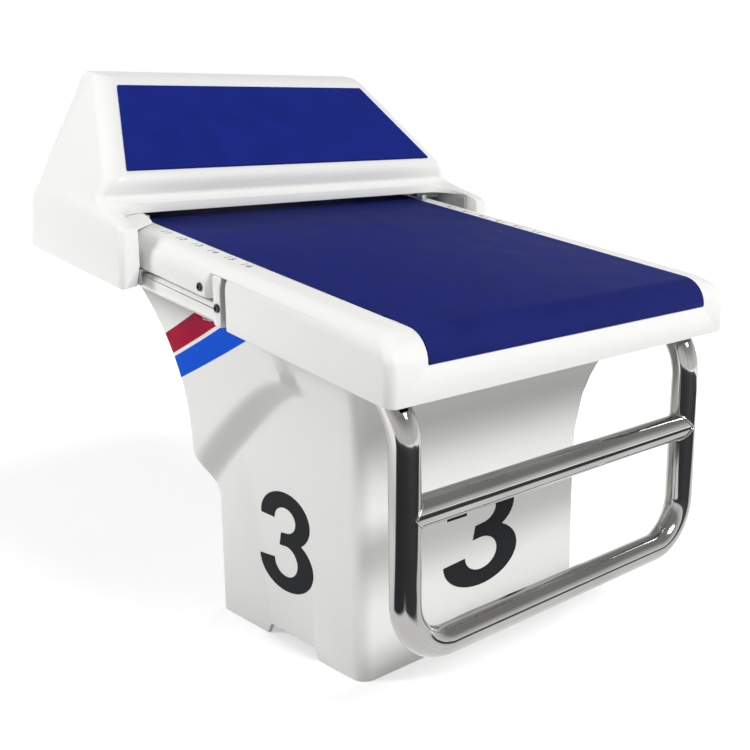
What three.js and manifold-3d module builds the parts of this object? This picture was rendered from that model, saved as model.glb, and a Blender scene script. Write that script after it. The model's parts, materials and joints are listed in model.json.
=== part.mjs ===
// Swimming starting block: a moulded deck on a flared column, with a sliding kick wedge and a handgrip.
// Millimetres. The pool lies towards -Y, +Z is up, and +X is to the right of someone who looks along +Y.
// The origin is on the floor, at the centre of the column's foot.
// A "drop" is a depth straight down from the deck's sloping top plane, and a "lift" a height above it.
import * as THREE from 'three';
import { mergeVertices } from 'three/addons/utils/BufferGeometryUtils.js';
import Module from 'manifold-3d';

const wasm = await Module();
wasm.setup();

// Fits shared by every piece
const clearance = 0.3;
const overrun = 3;

// Column: the hollow moulded stand
const columnInset = 97;
const columnDepth = 307;
const columnWall = 6;
const columnCornerRadius = 19;
const flareReach = 61;
const flareDrop = 215;
const flarePower = 2.5;
const shoulderReach = 28;
const shoulderFrontSetback = 94.5;
const shoulderFrontBlend = 18;
const shoulderLowDrop = 286.5;
const shoulderHighDrop = 115.5;
const shoulderLowBlend = 62;
const shoulderHighBlend = 26;
const shoulderBowPower = 1.37;
const heelReach = 20;
const heelStart = 150;
const heelEnd = 230;
const backLean = 85;
const backLeanRise = 250;
const backLeanPower = 1.8;
const toeNotchFront = -60;
const toeNotchRear = 32;
const toeNotchHeight = 15;
const toeNotchSlant = 9;
const ventSlotLength = 20;
const ventSlotHeight = 6;
const ventSlotY = 74;
const ventSlotDrop = 16;

// Deck: the sloping platform shell and its mat
const slope = THREE.MathUtils.degToRad(8.65);
const deckWidth = 600;
const deckLength = 700;
const deckOverhang = 158;
const deckFrontHeight = 461.5;
const deckDepth = 70;
const deckEdgeRadius = 28;
const deckCornerRadius = 12;
const cornerGrowthShare = 0.8;
const deckWall = 5;
const sidePanelLength = 280;
const flangeRise = 28;
const flangeThickness = 17;
const flangeLedge = 12;
const uprightBayLength = 27.5;
const flangeEndChamfer = 12;
const matMargin = 53;
const matThickness = 4;
const matPocketDepth = 3;
const matFrontDrop = 31;
const matRearSetback = 125;

// Frame inside the deck and the column
const coreThickness = 18;
const coreSetback = 27;
const frameTubeWidth = 30;
const frameTubeWall = 3;
const frameRearSetback = 22;
const crossTubeWidth = 40;
const crossFrontSetback = 152.5;
const crossSeatInset = 35;
const panThickness = 4;
const panSetback = 100;
const postWidth = 60;
const postWall = 3;
const postInset = 60;
const footPlateInset = 23;
const footPlateThickness = 10;
const headPlateSideInset = 33;
const headPlateEndInset = 28.5;
const headPlateThickness = 8;
const anchorInset = 32;
const anchorRadius = 6;
const anchorNutRadius = 11;
const anchorNutHeight = 10;
const anchorStickOut = 7;
const anchorFootGap = 0.5;
const boltRadius = 4;
const boltHeadRadius = 7.5;
const boltHeadHeight = 5;
const boltLength = 24;
const headBoltInset = 25;
const seatBoltReach = 8;

// Guide rails under the deck's long edges, and their bolts
const railThickness = 14.5;
const railSlot = 4.5;
const railHeight = 24;
const railUprightWidth = 14;
const railGroove = 11.5;
const railTopChamfer = 4;
const railBottomChamfer = 6;
const railRearSetback = 8;
const guideBoltRadius = 3;
const guideBoltHeadRadius = 5.2;
const guideBoltHeadHeight = 2.4;
const guideBoltGrip = 24;
const flangeBoltDrop = 31;
const flangeBoltSetback = 20.5;
const railBoltDrop = 2.1;
const railBoltSetback = 6;
const railRearBoltDrop = 11;
const railRearBoltSetback = 60;

// Handgrip: a bent tube with one crossbar, held in two sockets
const gripTubeRadius = 17.5;
const gripTubeWall = 2;
const gripSetback = 27;
const gripBottomHeight = 106.4;
const gripBarDrop = 195.8;
const gripCornerRadius = 62;
const gripNeckRadius = 80;
const gripNeckAngle = THREE.MathUtils.degToRad(50);
const gripEndSetback = 89.3;
const gripEndRise = 19.5;
const socketWidth = 66;
const socketSideGap = 6.5;
const socketFrontReach = 29.3;

// Kick wedge: the sliding housing with its sloped foot pad
const kickOverhang = 18;
const kickBrowDepth = 73.7;
const kickLegReach = 65.5;
const kickWall = 6;
const kickSkirtRise = 5.3;
const kickSkirtReach = 33;
const kickHipLift = 6;
const kickHipTuck = 2.5;
const kickLegGap = 5.5;
const kickLipGap = 12.5;
const kickLipLead = 4.5;
const kickLipRise = 25;
const kickLipTuck = 12.5;
const kickLipFillet = 45;
const kickCoveDepth = 10;
const kickNoseLead = 2;
const kickNoseRise = 20;
const kickNoseTuck = 12.5;
const kickFaceStep = 9;
const kickFaceTuck = 4;
const kickFaceRun = 118.8;
const kickFaceRise = 105;
const kickBrowTuck = 58.5;
const kickCrestRise = 7.4;
const kickCrestSetback = 24.2;
const kickCrestTuck = 7;
const kickCrestRadius = 24;
const kickLegCornerRadius = 8;
const kickFrontCornerRadius = 24;
const kickSkirtCornerRadius = 22;
const kickRearCornerRadius = 38;
const kickRoofThickness = 15;
const skirtWall = 5;
const skirtPocketFront = 10;
const skirtPocketRear = 26;
const skirtPocketDrop = 2;
const handHoleHalf = 95;
const handHoleLift = 62;
const padBottomTuck = 29.2;
const padTopTuck = 23;
const padBottomInset = 8.8;
const padTopInset = 9.5;
const padThickness = 4;
const padRecess = 2;

// Slides: blocks that ride on the deck's rims, tongues in the slots over the guide rails, and a pointer
const glideFootLength = 50;
const glideMatGap = 14;
const glideTabLength = 110;
const glideTabDrop = 38;
const glideTabSetback = 22;
const glideRearSetback = 14;
const tongueThickness = 3.6;
const tongueLeaf = 3.5;
const tongueRise = 2.7;
const tongueFrontSetback = 3;
const tongueRearSetback = 22;
const tongueReach = 15;
const pointerLength = 56;
const pointerRearReach = 15;
const pointerInset = 8;
const pointerWidth = 19;
const pointerFloat = 2.2;

// Latch: two pawls on a cross rod drop into the notches of the index strips
const positionPitch = 35;
const positionCount = 5;
const latchRodSetback = 100.5;
const latchRodLift = 24;
const latchRodRadius = 6;
const latchRodInset = 7;
const latchLift = THREE.MathUtils.degToRad(14);
const pawlMatGap = 7;
const pawlThickness = 7;
const pawlReach = 60;
const hubRadius = 11;
const toothWidth = 9;
const pawlArmHeight = 13;
const toothTipFloat = 1.2;
const stripWidth = 9;
const stripLift = 9;
const stripFloor = 3.3;
const notchWidth = 16;
const stripEnd = 13;
const bearingLength = 24;
const bearingDepth = 32;
const bearingLift = 35.5;
const handleHalf = 60;
const handleReach = 112;
const handleRadius = 5;
const handleBendRadius = 16;
const handleHubLength = 16;
const springInset = 28;
const springWireRadius = 0.9;
const springPitch = 2.5;
const springFit = 0.5;

// Counts of sides, steps and turns
const roundSides = 16;
const boltSides = 12;
const gripSides = 12;
const gripSteps = 64;
const handleSteps = 24;
const cornerSteps = 4;
const columnCornerSteps = 3;
const columnStations = 12;
const shoulderLevels = 3;
const flareLevels = 6;
const ringPasses = 8;
const springTurns = 5;
const springTurnSteps = 12;
const springSides = 6;

// Shapes of curves, as shares of the sizes that they follow
const edgeDropShares = [1, 0.62, 0.36, 0.17, 0.05, 0];
const innerEdgeShares = [1, 0.36, 0.13];
const legTopShares = [[0.24, 0.03], [0.42, 0.17], [0.72, 0.63], [1, 1]];
const coveShares = [[0.14, 0.55], [0.42, 1], [0.74, 0.6], [1, 0]];
const crestShares = [[0.45, 0.25], [0.8, 0.6], [1, 1]];
const crestRearShares = [0, 0.55, 0.75, 0.92, 1];
const cornerLimitShare = 0.4;
const cavityCornerShare = 0.7;
const columnFootShares = [0, 0.45, 0.7, 0.85];
const domeShare = 0.62;
const rimShare = 0.45;

// Places worked out from the sizes above: the column and its plates
const deckHalf = deckWidth / 2;
const columnHalf = deckHalf - columnInset;
const shoulderFrontY = shoulderFrontSetback - columnDepth / 2;
const shoulderLowHeight = deckFrontHeight - shoulderLowDrop;
const shoulderHighHeight = deckFrontHeight - shoulderHighDrop;
const footX = columnHalf - footPlateInset;
const footY = columnDepth / 2 - footPlateInset;
const headX = columnHalf - headPlateSideInset;
const headY = columnDepth / 2 - headPlateEndInset;
const headBoltX = headX - headBoltInset;
const seatBoltX = columnHalf + seatBoltReach;
const crossSeatOffset = headY - crossSeatInset;
const postOffset = headX - postInset;

// The deck, its mat, frame and rails
const deckFront = -(columnDepth / 2 + deckOverhang);
const deckRear = deckFront + deckLength;
const flangeDepth = deckDepth - flangeRise;
const matHalf = deckHalf - matMargin;
const matLength = deckLength - matRearSetback;
const crossFrontCentre = deckFront + crossFrontSetback;
const sidePanelEnd = deckFront + sidePanelLength;
const flangeStart = sidePanelEnd + uprightBayLength;
const flangeInner = deckHalf - flangeThickness;
const slopeRatio = Math.tan(slope);
const deckNormal = new THREE.Vector3(0, -Math.sin(slope), Math.cos(slope));
const frameHalf = flangeInner - clearance;
const frameInner = frameHalf - frameTubeWidth;
const roomDrop = deckWall + matPocketDepth;
const coreDrop = roomDrop + clearance;
const crossDrop = coreDrop + coreThickness + clearance;
const panDrop = deckDepth - panThickness;
const frameDrop = panDrop - clearance;
const frameRear = deckRear - frameRearSetback - clearance;
const seatDrop = deckDepth + clearance;
const headPlateDrop = seatDrop + headPlateThickness;
const railDrop = flangeDepth + railSlot;

// The handgrip: its sockets' places set its span, and its ends' places set where its necks start
const gripHalfSpan = deckHalf - deckWall - socketSideGap - socketWidth / 2;
const gripY = deckFront + gripSetback;
const gripBarHeight = deckFrontHeight - gripBarDrop;
const gripEndY = deckFront + gripEndSetback;
const gripTailLength = (gripEndY - gripY - gripNeckRadius * (1 - Math.cos(gripNeckAngle))) / Math.sin(gripNeckAngle);
const gripNeckHeight = deckTop(gripEndY) - deckDepth + gripEndRise - gripTailLength * Math.cos(gripNeckAngle)
  - gripNeckRadius * Math.sin(gripNeckAngle);

// The kick wedge, from the deck's rear towards its front and from its skirts up to its crest
const kickRear = deckRear + kickOverhang;
const kickFaceFront = kickRear - kickBrowDepth - kickFaceRun;
const kickNoseFront = kickFaceFront - kickNoseLead;
const kickLipFront = kickNoseFront - kickLipLead;
const kickLegFront = kickLipFront - kickLegReach;
const kickCrestFront = kickFaceFront + kickFaceRun + kickCrestSetback;
const legInner = deckHalf + kickLegGap;
const kickSkirtHalf = deckHalf + kickSkirtReach;
const kickHipHalf = kickSkirtHalf - kickHipTuck;
const kickLipHalf = kickHipHalf - kickLipTuck;
const kickNoseHalf = kickLipHalf - kickNoseTuck;
const kickFaceHalf = kickNoseHalf - kickFaceTuck;
const kickBrowHalf = kickFaceHalf - kickBrowTuck;
const kickCrestHalf = kickBrowHalf - kickCrestTuck;
const kickSkirtDrop = deckDepth - kickSkirtRise;
const kickLipLift = kickHipLift + kickLipRise;
const kickNoseLift = kickLipLift + kickNoseRise;
const kickFaceLift = kickNoseLift + kickFaceStep;
const kickCrestLift = kickFaceLift + kickFaceRise + kickCrestRise;
const padBottomHalf = kickFaceHalf - padBottomTuck;
const padTopHalf = kickBrowHalf - padTopTuck;
const latchRodY = kickRear - latchRodSetback;
const pawlX = matHalf + pawlMatGap;

function deckTop(y) {
  return deckFrontHeight + slopeRatio * (y - deckFront);
}

function underside(y) {
  return deckTop(y) - seatDrop;
}

// The shear lifts a level shape onto the deck's sloping top plane and keeps its upright walls upright.
const deckShear = new THREE.Matrix4().set(
  1, 0, 0, 0,
  0, 1, 0, 0,
  0, slopeRatio, 1, deckTop(0),
  0, 0, 0, 1,
);

// Solids and geometries

function toSolid(geometry) {
  const bare = geometry.index ? geometry.toNonIndexed() : geometry.clone();
  bare.deleteAttribute('normal');
  bare.deleteAttribute('uv');
  const merged = mergeVertices(bare);
  const corners = [];
  for (let i = 0; i < merged.index.count; i += 3) {
    const [a, b, c] = [merged.index.getX(i), merged.index.getX(i + 1), merged.index.getX(i + 2)];
    if (a !== b && b !== c && c !== a) corners.push(a, b, c);
  }
  return new wasm.Manifold(new wasm.Mesh({
    numProp: 3,
    vertProperties: new Float32Array(merged.attributes.position.array),
    triVerts: new Uint32Array(corners),
  }));
}

function toGeometry(solid) {
  const mesh = solid.getMesh();
  const geometry = new THREE.BufferGeometry();
  geometry.setAttribute('position', new THREE.BufferAttribute(new Float32Array(mesh.vertProperties), 3));
  geometry.setIndex(new THREE.BufferAttribute(new Uint32Array(mesh.triVerts), 1));
  return flatShaded(geometry);
}

function flatShaded(geometry) {
  const flat = geometry.toNonIndexed();
  flat.computeVertexNormals();
  return flat;
}

function cut(geometry, ...tools) {
  return toGeometry(tools.reduce((solid, tool) => solid.subtract(toSolid(tool)), toSolid(geometry)));
}

function join(geometry, ...others) {
  return toGeometry(others.reduce((solid, other) => solid.add(toSolid(other)), toSolid(geometry)));
}

function overlap(geometry, other) {
  return toGeometry(toSolid(geometry).intersect(toSolid(other)));
}

// The same shape on the other side of the plane x = 0, with its triangles turned to face out again.
function mirrored(geometry) {
  const copy = geometry.index ? geometry.toNonIndexed() : geometry.clone();
  const position = copy.attributes.position;
  for (let i = 0; i < position.count; i += 3) {
    const [a, b, c] = [i, i + 1, i + 2].map((k) => new THREE.Vector3().fromBufferAttribute(position, k));
    [a, c, b].forEach((corner, k) => position.setXYZ(i + k, -corner.x, corner.y, corner.z));
  }
  copy.computeVertexNormals();
  return copy;
}

function bothSides(...geometries) {
  return [...geometries, ...geometries.map(mirrored)];
}

function block(x0, x1, y0, y1, z0, z1) {
  return new THREE.BoxGeometry(x1 - x0, y1 - y0, z1 - z0).translate((x0 + x1) / 2, (y0 + y1) / 2, (z0 + z1) / 2);
}

function outline(points) {
  return new THREE.Shape(points.map(([x, y]) => new THREE.Vector2(x, y)));
}

function extruded(shape, depth) {
  return new THREE.ExtrudeGeometry(shape, { depth, bevelEnabled: false, curveSegments: cornerSteps });
}

// An outline in (y, z), carried along X from x0 to x1.
const sideView = new THREE.Matrix4().makeBasis(
  new THREE.Vector3(0, 1, 0), new THREE.Vector3(0, 0, 1), new THREE.Vector3(1, 0, 0));
function alongX(shape, x0, x1) {
  return extruded(shape, x1 - x0).applyMatrix4(sideView).translate(x0, 0, 0);
}

// An outline in (x, z), carried along Y from y0 to y1.
const frontView = new THREE.Matrix4().makeBasis(
  new THREE.Vector3(1, 0, 0), new THREE.Vector3(0, 0, 1), new THREE.Vector3(0, -1, 0));
function alongY(shape, y0, y1) {
  return extruded(shape, y1 - y0).applyMatrix4(frontView).translate(0, y1, 0);
}

function onDeck(geometry) {
  return geometry.applyMatrix4(deckShear);
}

// A round pin along X at a place beside the deck, given by its y and its lift over the deck's top plane.
function crossPin(radius, x0, x1, y, lift) {
  return new THREE.CylinderGeometry(radius, radius, x1 - x0, roundSides).rotateZ(Math.PI / 2)
    .translate((x0 + x1) / 2, y, deckTop(y) + lift);
}

// The point on a line square to the deck, through (x, y) on its underside, that lies at a given drop.
function seatPoint(x, y, drop) {
  return new THREE.Vector3(x, y, deckTop(y) - deckDepth)
    .addScaledVector(deckNormal, (deckDepth - drop) * Math.cos(slope));
}

// Skin over a stack of rings that all have as many points, listed counter-clockwise from above.
function loft(rings) {
  const count = rings[0].length;
  const indices = [];
  for (let level = 0; level < rings.length - 1; level += 1) {
    for (let i = 0; i < count; i += 1) {
      const a = level * count + i;
      const b = level * count + ((i + 1) % count);
      indices.push(a, b, b + count, a, b + count, a + count);
    }
  }
  const last = (rings.length - 1) * count;
  for (let i = 1; i < count - 1; i += 1) indices.push(0, i + 1, i, last, last + i, last + i + 1);
  const geometry = new THREE.BufferGeometry();
  const points = rings.flat().flatMap((point) => point.toArray());
  geometry.setAttribute('position', new THREE.Float32BufferAttribute(points, 3));
  geometry.setIndex(indices);
  return flatShaded(geometry);
}

// A level rectangle with rounded corners, its front and rear corners rounded by their own radii.
function ring({ half, front, rear, height, frontRadius, rearRadius }) {
  const corners = [
    [half - frontRadius, front + frontRadius, frontRadius, -Math.PI / 2],
    [half - rearRadius, rear - rearRadius, rearRadius, 0],
    [-half + rearRadius, rear - rearRadius, rearRadius, Math.PI / 2],
    [-half + frontRadius, front + frontRadius, frontRadius, Math.PI],
  ];
  return corners.flatMap(([x, y, radius, start]) => Array.from({ length: cornerSteps + 1 }, (_, i) => {
    const angle = start + (i / cornerSteps) * (Math.PI / 2);
    return new THREE.Vector3(x + radius * Math.cos(angle), y + radius * Math.sin(angle), height);
  }));
}

function rise(value, start, length) {
  return THREE.MathUtils.clamp((value - start) / length, 0, 1);
}

function smoothRise(value, start, length) {
  return THREE.MathUtils.smoothstep(value, start, start + length);
}

// A round section swept along a path; a wall leaves it hollow.
function sweep(path, radius, sides, steps, wall = 0) {
  const circle = (size) => Array.from({ length: sides }, (_, i) => {
    const angle = (i / sides) * Math.PI * 2;
    return new THREE.Vector2(size * Math.cos(angle), size * Math.sin(angle));
  });
  const section = new THREE.Shape(circle(radius));
  if (wall > 0) section.holes.push(new THREE.Path(circle(radius - wall)));
  return new THREE.ExtrudeGeometry(section, { steps, bevelEnabled: false, extrudePath: path });
}

// An arc in space: it starts at centre + outward * radius and turns towards forward.
class Bend extends THREE.Curve {
  constructor(centre, outward, forward, radius, angle) {
    super();
    Object.assign(this, { centre, outward, forward, radius, angle });
  }

  getPoint(t, target = new THREE.Vector3()) {
    const turn = t * this.angle;
    return target.copy(this.centre)
      .addScaledVector(this.outward, this.radius * Math.cos(turn))
      .addScaledVector(this.forward, this.radius * Math.sin(turn));
  }
}

class Helix extends THREE.Curve {
  constructor(radius, pitch, turns) {
    super();
    Object.assign(this, { radius, pitch, turns });
  }

  getPoint(t, target = new THREE.Vector3()) {
    const angle = t * this.turns * Math.PI * 2;
    return target.set(t * this.turns * this.pitch, this.radius * Math.cos(angle), this.radius * Math.sin(angle));
  }
}

function joinedPath(...curves) {
  const path = new THREE.CurvePath();
  curves.forEach((curve) => path.add(curve));
  return path;
}

// A round-headed bolt: the head's inner face is at the origin and the shank runs along +Z.
function roundBolt(headRadius, headHeight, shankRadius, shankLength) {
  const profile = [
    [0, -headHeight], [headRadius * domeShare, -headHeight], [headRadius, -headHeight * rimShare],
    [headRadius, 0], [shankRadius, 0], [shankRadius, shankLength], [0, shankLength],
  ];
  const points = profile.map(([radius, along]) => new THREE.Vector2(radius, along));
  return toGeometry(toSolid(new THREE.LatheGeometry(points, boltSides).rotateX(Math.PI / 2)));
}

// Materials

function finish(color, roughness, metalness) {
  return new THREE.MeshStandardMaterial({ color, roughness, metalness });
}
const whiteMoulding = finish(0xf0f0ee, 0.25, 0);
const blueGrip = finish(0x26308a, 0.8, 0);
const polishedSteel = finish(0xc9ccd0, 0.12, 1);
const brushedSteel = finish(0xa9acb0, 0.4, 1);
const paintedSteel = finish(0x8f9498, 0.55, 0.6);
const plywood = finish(0xa07c4e, 0.7, 0);
const greyNylon = finish(0x9a9c9e, 0.5, 0);
const aluminium = finish(0xc4c7ca, 0.35, 0.9);
const whitePaint = finish(0xe4e5e6, 0.3, 0.1);

const startingBlock = new THREE.Group();
startingBlock.name = 'starting_block';

function add(name, geometry, material) {
  const mesh = new THREE.Mesh(geometry, material);
  mesh.name = name;
  startingBlock.add(mesh);
  return mesh;
}

// A piece drawn on the +X side, and its mirror image.
function addPair(name, geometry, material) {
  add(`${name}_right`, geometry, material);
  add(`${name}_left`, mirrored(geometry), material);
}

// Column

// The column's flanks step out over a line that climbs towards the front: where the step starts and ends at y.
function shoulderStart(y) {
  const along = rise(y, shoulderFrontY, columnDepth / 2 - shoulderFrontY);
  return THREE.MathUtils.lerp(shoulderHighHeight, shoulderLowHeight, along ** shoulderBowPower);
}

function shoulderBlendAt(y) {
  const along = rise(y, shoulderFrontY, columnDepth / 2 - shoulderFrontY);
  return THREE.MathUtils.lerp(shoulderHighBlend, shoulderLowBlend, along);
}

function columnHalfAt(y, z) {
  const shoulder = shoulderReach * smoothRise(z, shoulderStart(y), shoulderBlendAt(y))
    * smoothRise(y, shoulderFrontY - shoulderFrontBlend, shoulderFrontBlend);
  return columnHalf + shoulder + (flareReach - shoulder) * flareShareAt(y, z);
}

function flareShareAt(y, z) {
  return rise(z, underside(y) - flareDrop, flareDrop) ** flarePower;
}

function columnFrontAt(y, z) {
  return -columnDepth / 2 - flareReach * flareShareAt(y, z);
}

function columnRearAt(z) {
  const lean = backLean * Math.max((z - heelEnd) / backLeanRise, 0) ** backLeanPower;
  return columnDepth / 2 + heelReach * smoothRise(z, heelStart, heelEnd - heelStart) + lean;
}

// One ring of the column's wall. The rings lie in three zones: below the shoulder's step, on it, and above it
// up to the deck's sloping underside. The share says how far up its zone a ring lies.
function columnRing(zone, share, inset) {
  const heightAt = (y) => {
    const step = shoulderStart(y);
    const bounds = [0, step, step + shoulderBlendAt(y), underside(y) - inset];
    return THREE.MathUtils.lerp(bounds[zone], bounds[zone + 1], share);
  };
  let front = -columnDepth / 2;
  let rear = columnDepth / 2;
  for (let pass = 0; pass < ringPasses; pass += 1) {
    front = columnFrontAt(front, heightAt(front));
    rear = columnRearAt(heightAt(rear));
  }
  front += inset;
  rear -= inset;
  const radius = columnCornerRadius - inset;
  const points = [];
  const place = (side, y, pull) => {
    const z = heightAt(y);
    points.push(new THREE.Vector3(side * (columnHalfAt(y, z) - inset - pull), y, z));
  };
  const corner = (side, edge, inward, from, to) => {
    for (let i = 0; i <= columnCornerSteps; i += 1) {
      const angle = THREE.MathUtils.lerp(from, to, i / columnCornerSteps);
      place(side, edge + inward * radius * (1 - Math.sin(angle)), radius * (1 - Math.cos(angle)));
    }
  };
  const flank = (side, from, to) => {
    for (let i = 1; i < columnStations; i += 1) place(side, THREE.MathUtils.lerp(from, to, i / columnStations), 0);
  };
  corner(1, front, 1, Math.PI / 2, 0);
  flank(1, front + radius, rear - radius);
  corner(1, rear, -1, 0, Math.PI / 2);
  corner(-1, rear, -1, Math.PI / 2, 0);
  flank(-1, rear - radius, front + radius);
  corner(-1, front, 1, 0, Math.PI / 2);
  return points;
}

function columnRings(inset) {
  const even = (count) => Array.from({ length: count }, (_, i) => (i + 1) / count);
  return [
    ...columnFootShares.map((share) => columnRing(0, share, inset)),
    columnRing(1, 0, inset),
    ...even(shoulderLevels).map((share) => columnRing(1, share, inset)),
    ...even(flareLevels).map((share) => columnRing(2, share, inset)),
  ];
}

// Holes square to the deck, for the bolts that hold the column and the head plate to the deck's frame.
function seatHoles(x) {
  return [-crossSeatOffset, crossSeatOffset].flatMap((y) => bothSides(
    new THREE.CylinderGeometry(boltRadius + clearance, boltRadius + clearance, 2 * boltLength, roundSides)
      .rotateX(Math.PI / 2 + slope).translate(...seatPoint(x, y, deckDepth))));
}

function columnShell() {
  const below = columnRing(0, 0, columnWall).map(({ x, y }) => new THREE.Vector3(x, y, -overrun));
  const room = loft([below, ...columnRings(columnWall)]);
  const headGap = clearance + headX;
  const headGapY = clearance + headY;
  const mouth = onDeck(block(-headGap, headGap, -headGapY, headGapY, -flareDrop, 0));
  const toeNotch = alongX(outline([
    [toeNotchFront - toeNotchSlant, -overrun], [toeNotchRear + toeNotchSlant, -overrun],
    [toeNotchRear, toeNotchHeight], [toeNotchFront, toeNotchHeight],
  ]), -deckWidth, deckWidth);
  const slotTop = underside(ventSlotY) - ventSlotDrop;
  const ventSlot = block(-deckWidth, deckWidth, ventSlotY - ventSlotLength / 2,
    ventSlotY + ventSlotLength / 2, slotTop - ventSlotHeight, slotTop);
  return cut(loft(columnRings(0)), room, mouth, toeNotch, ventSlot, ...seatHoles(seatBoltX));
}
add('pedestal_shell', columnShell(), whiteMoulding);

// Deck shell, with the mat's pocket, its side panels and flanges, and its open underside

// How far a rounded edge has drawn in at a given drop below the top.
function edgePull(drop, radius) {
  const left = Math.max(radius - drop, 0);
  return radius - Math.sqrt(radius * radius - left * left);
}

function deckBody(inset, half, drops) {
  const radius = deckEdgeRadius - inset;
  return loft(drops.map((drop) => {
    const pull = edgePull(drop - inset, radius);
    const corner = deckCornerRadius - inset + pull * cornerGrowthShare;
    return ring({
      half: half - pull, front: deckFront + inset + pull, rear: deckRear - inset - pull,
      height: -drop, frontRadius: corner, rearRadius: corner,
    });
  }));
}

// A skin that follows the deck's top and its rounded front edge, from inward under it to outward over it.
function frontSkin(outward, inward, length, drop, half) {
  const bendY = deckFront + deckEdgeRadius;
  const shape = new THREE.Shape();
  shape.moveTo(deckFront + length, outward);
  shape.lineTo(bendY, outward);
  shape.absarc(bendY, -deckEdgeRadius, deckEdgeRadius + outward, Math.PI / 2, Math.PI, false);
  shape.lineTo(deckFront - outward, -drop);
  shape.lineTo(deckFront + inward, -drop);
  shape.lineTo(deckFront + inward, -deckEdgeRadius);
  shape.absarc(bendY, -deckEdgeRadius, deckEdgeRadius - inward, Math.PI, Math.PI / 2, true);
  shape.lineTo(deckFront + length, -inward);
  return onDeck(alongX(shape, -half, half));
}

// The pins of the three bolts on each side: through the flange, and through the rail's front and rear.
const guideBolts = [
  { name: 'flange_bolt', face: deckHalf, y: flangeStart + flangeBoltSetback, drop: flangeBoltDrop },
  { name: 'rail_bolt_front', face: flangeInner + railThickness, y: sidePanelEnd + railGroove + railBoltSetback,
    drop: railDrop + railBoltDrop },
  { name: 'rail_bolt_rear', face: flangeInner + railThickness, y: deckRear - railRearBoltSetback,
    drop: railDrop + railRearBoltDrop },
];
const guideHoles = guideBolts.flatMap(({ y, drop }) => bothSides(
  crossPin(guideBoltRadius + clearance, deckHalf - guideBoltGrip - flangeThickness, deckHalf + overrun, y, -drop)));

function deckShell() {
  const below = -deckDepth - overrun;
  const skin = onDeck(deckBody(0, deckHalf, [deckDepth, ...edgeDropShares.map((share) => share * deckEdgeRadius)]));
  const innerDrops = [-below, ...innerEdgeShares.map((share) => deckWall + share * (deckEdgeRadius - deckWall))];
  const frontRoom = onDeck(overlap(deckBody(deckWall, deckHalf - deckWall, innerDrops),
    block(-deckHalf, deckHalf, deckFront, sidePanelEnd, below, 0)));
  const rearRoom = onDeck(deckBody(deckWall, flangeInner, innerDrops));
  const frameRoom = onDeck(block(-flangeInner, flangeInner, sidePanelEnd - overrun, deckRear - frameRearSetback,
    below, -roomDrop));
  const outer = deckHalf + overrun;
  const flangeUnderside = block(flangeInner, outer, sidePanelEnd, deckRear + overrun, below, -flangeDepth);
  const uprightBay = block(flangeInner, outer, sidePanelEnd, flangeStart, below, -flangeLedge);
  const endChamfer = extruded(outline([[deckHalf - flangeEndChamfer, flangeStart], [outer, flangeStart],
    [outer, flangeStart + flangeEndChamfer + overrun]]), deckDepth - flangeLedge).translate(0, 0, -deckDepth);
  const matPocket = frontSkin(overrun, matPocketDepth, matLength + clearance, matFrontDrop + clearance,
    matHalf + clearance);
  return cut(skin, frontRoom, rearRoom, frameRoom, matPocket, ...guideHoles,
    ...bothSides(onDeck(flangeUnderside), onDeck(uprightBay), onDeck(endChamfer)));
}
add('platform_shell', deckShell(), whiteMoulding);
add('deck_mat', frontSkin(matThickness - matPocketDepth, matPocketDepth - clearance, matLength, matFrontDrop,
  matHalf), blueGrip);

// Frame under the deck's skin

add('core_panel', onDeck(block(-frameInner + clearance, frameInner - clearance, deckFront + coreSetback, frameRear,
  -coreDrop - coreThickness, -coreDrop)), plywood);

function tubeSection(width, height, wall) {
  const box = (x, y) => [[-x, -y], [x, -y], [x, y], [-x, y]];
  const shape = outline(box(width / 2, height / 2));
  shape.holes.push(outline(box(width / 2 - wall, height / 2 - wall)));
  return shape;
}

function crossTube(centreY, half) {
  const height = frameDrop - crossDrop;
  return onDeck(alongX(tubeSection(crossTubeWidth, height, frameTubeWall), -half, half)
    .translate(0, centreY, -crossDrop - height / 2));
}
const crossHalf = frameInner - clearance;
add('cross_member_front', crossTube(crossFrontCentre, frameHalf), paintedSteel);
add('cross_member_middle', cut(crossTube(-crossSeatOffset, crossHalf), ...seatHoles(headBoltX),
  ...seatHoles(seatBoltX)), paintedSteel);
add('cross_member_rear', cut(crossTube(crossSeatOffset, crossHalf), ...seatHoles(headBoltX),
  ...seatHoles(seatBoltX)), paintedSteel);

const crossFrontRear = crossFrontCentre + crossTubeWidth / 2;
function sideTube() {
  const height = frameDrop - coreDrop;
  const tube = alongY(tubeSection(frameTubeWidth, height, frameTubeWall), crossFrontRear + clearance, frameRear)
    .translate(frameHalf - frameTubeWidth / 2, 0, -coreDrop - height / 2);
  return cut(onDeck(tube), ...guideHoles);
}
addPair('frame_rail', sideTube(), paintedSteel);

const panHalf = frameHalf - clearance;
add('platform_pan', cut(onDeck(block(-panHalf, panHalf, deckFront + panSetback, frameRear, -deckDepth, -panDrop)),
  ...seatHoles(headBoltX), ...seatHoles(seatBoltX)), aluminium);

// Support inside the column: foot plate, posts and head plate

const anchorPlaces = [
  ['anchor_bolt_front_right', footX - anchorInset, -footY + anchorInset],
  ['anchor_bolt_front_left', -footX + anchorInset, -footY + anchorInset],
  ['anchor_bolt_rear_right', footX - anchorInset, footY - anchorInset],
  ['anchor_bolt_rear_left', -footX + anchorInset, footY - anchorInset],
];
add('anchor_plate', cut(block(-footX, footX, -footY, footY, 0, footPlateThickness),
  ...anchorPlaces.map(([, x, y]) => new THREE.CylinderGeometry(anchorRadius + clearance, anchorRadius + clearance,
    2 * footPlateThickness + overrun, roundSides).rotateX(Math.PI / 2).translate(x, y, 0))), brushedSteel);

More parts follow.
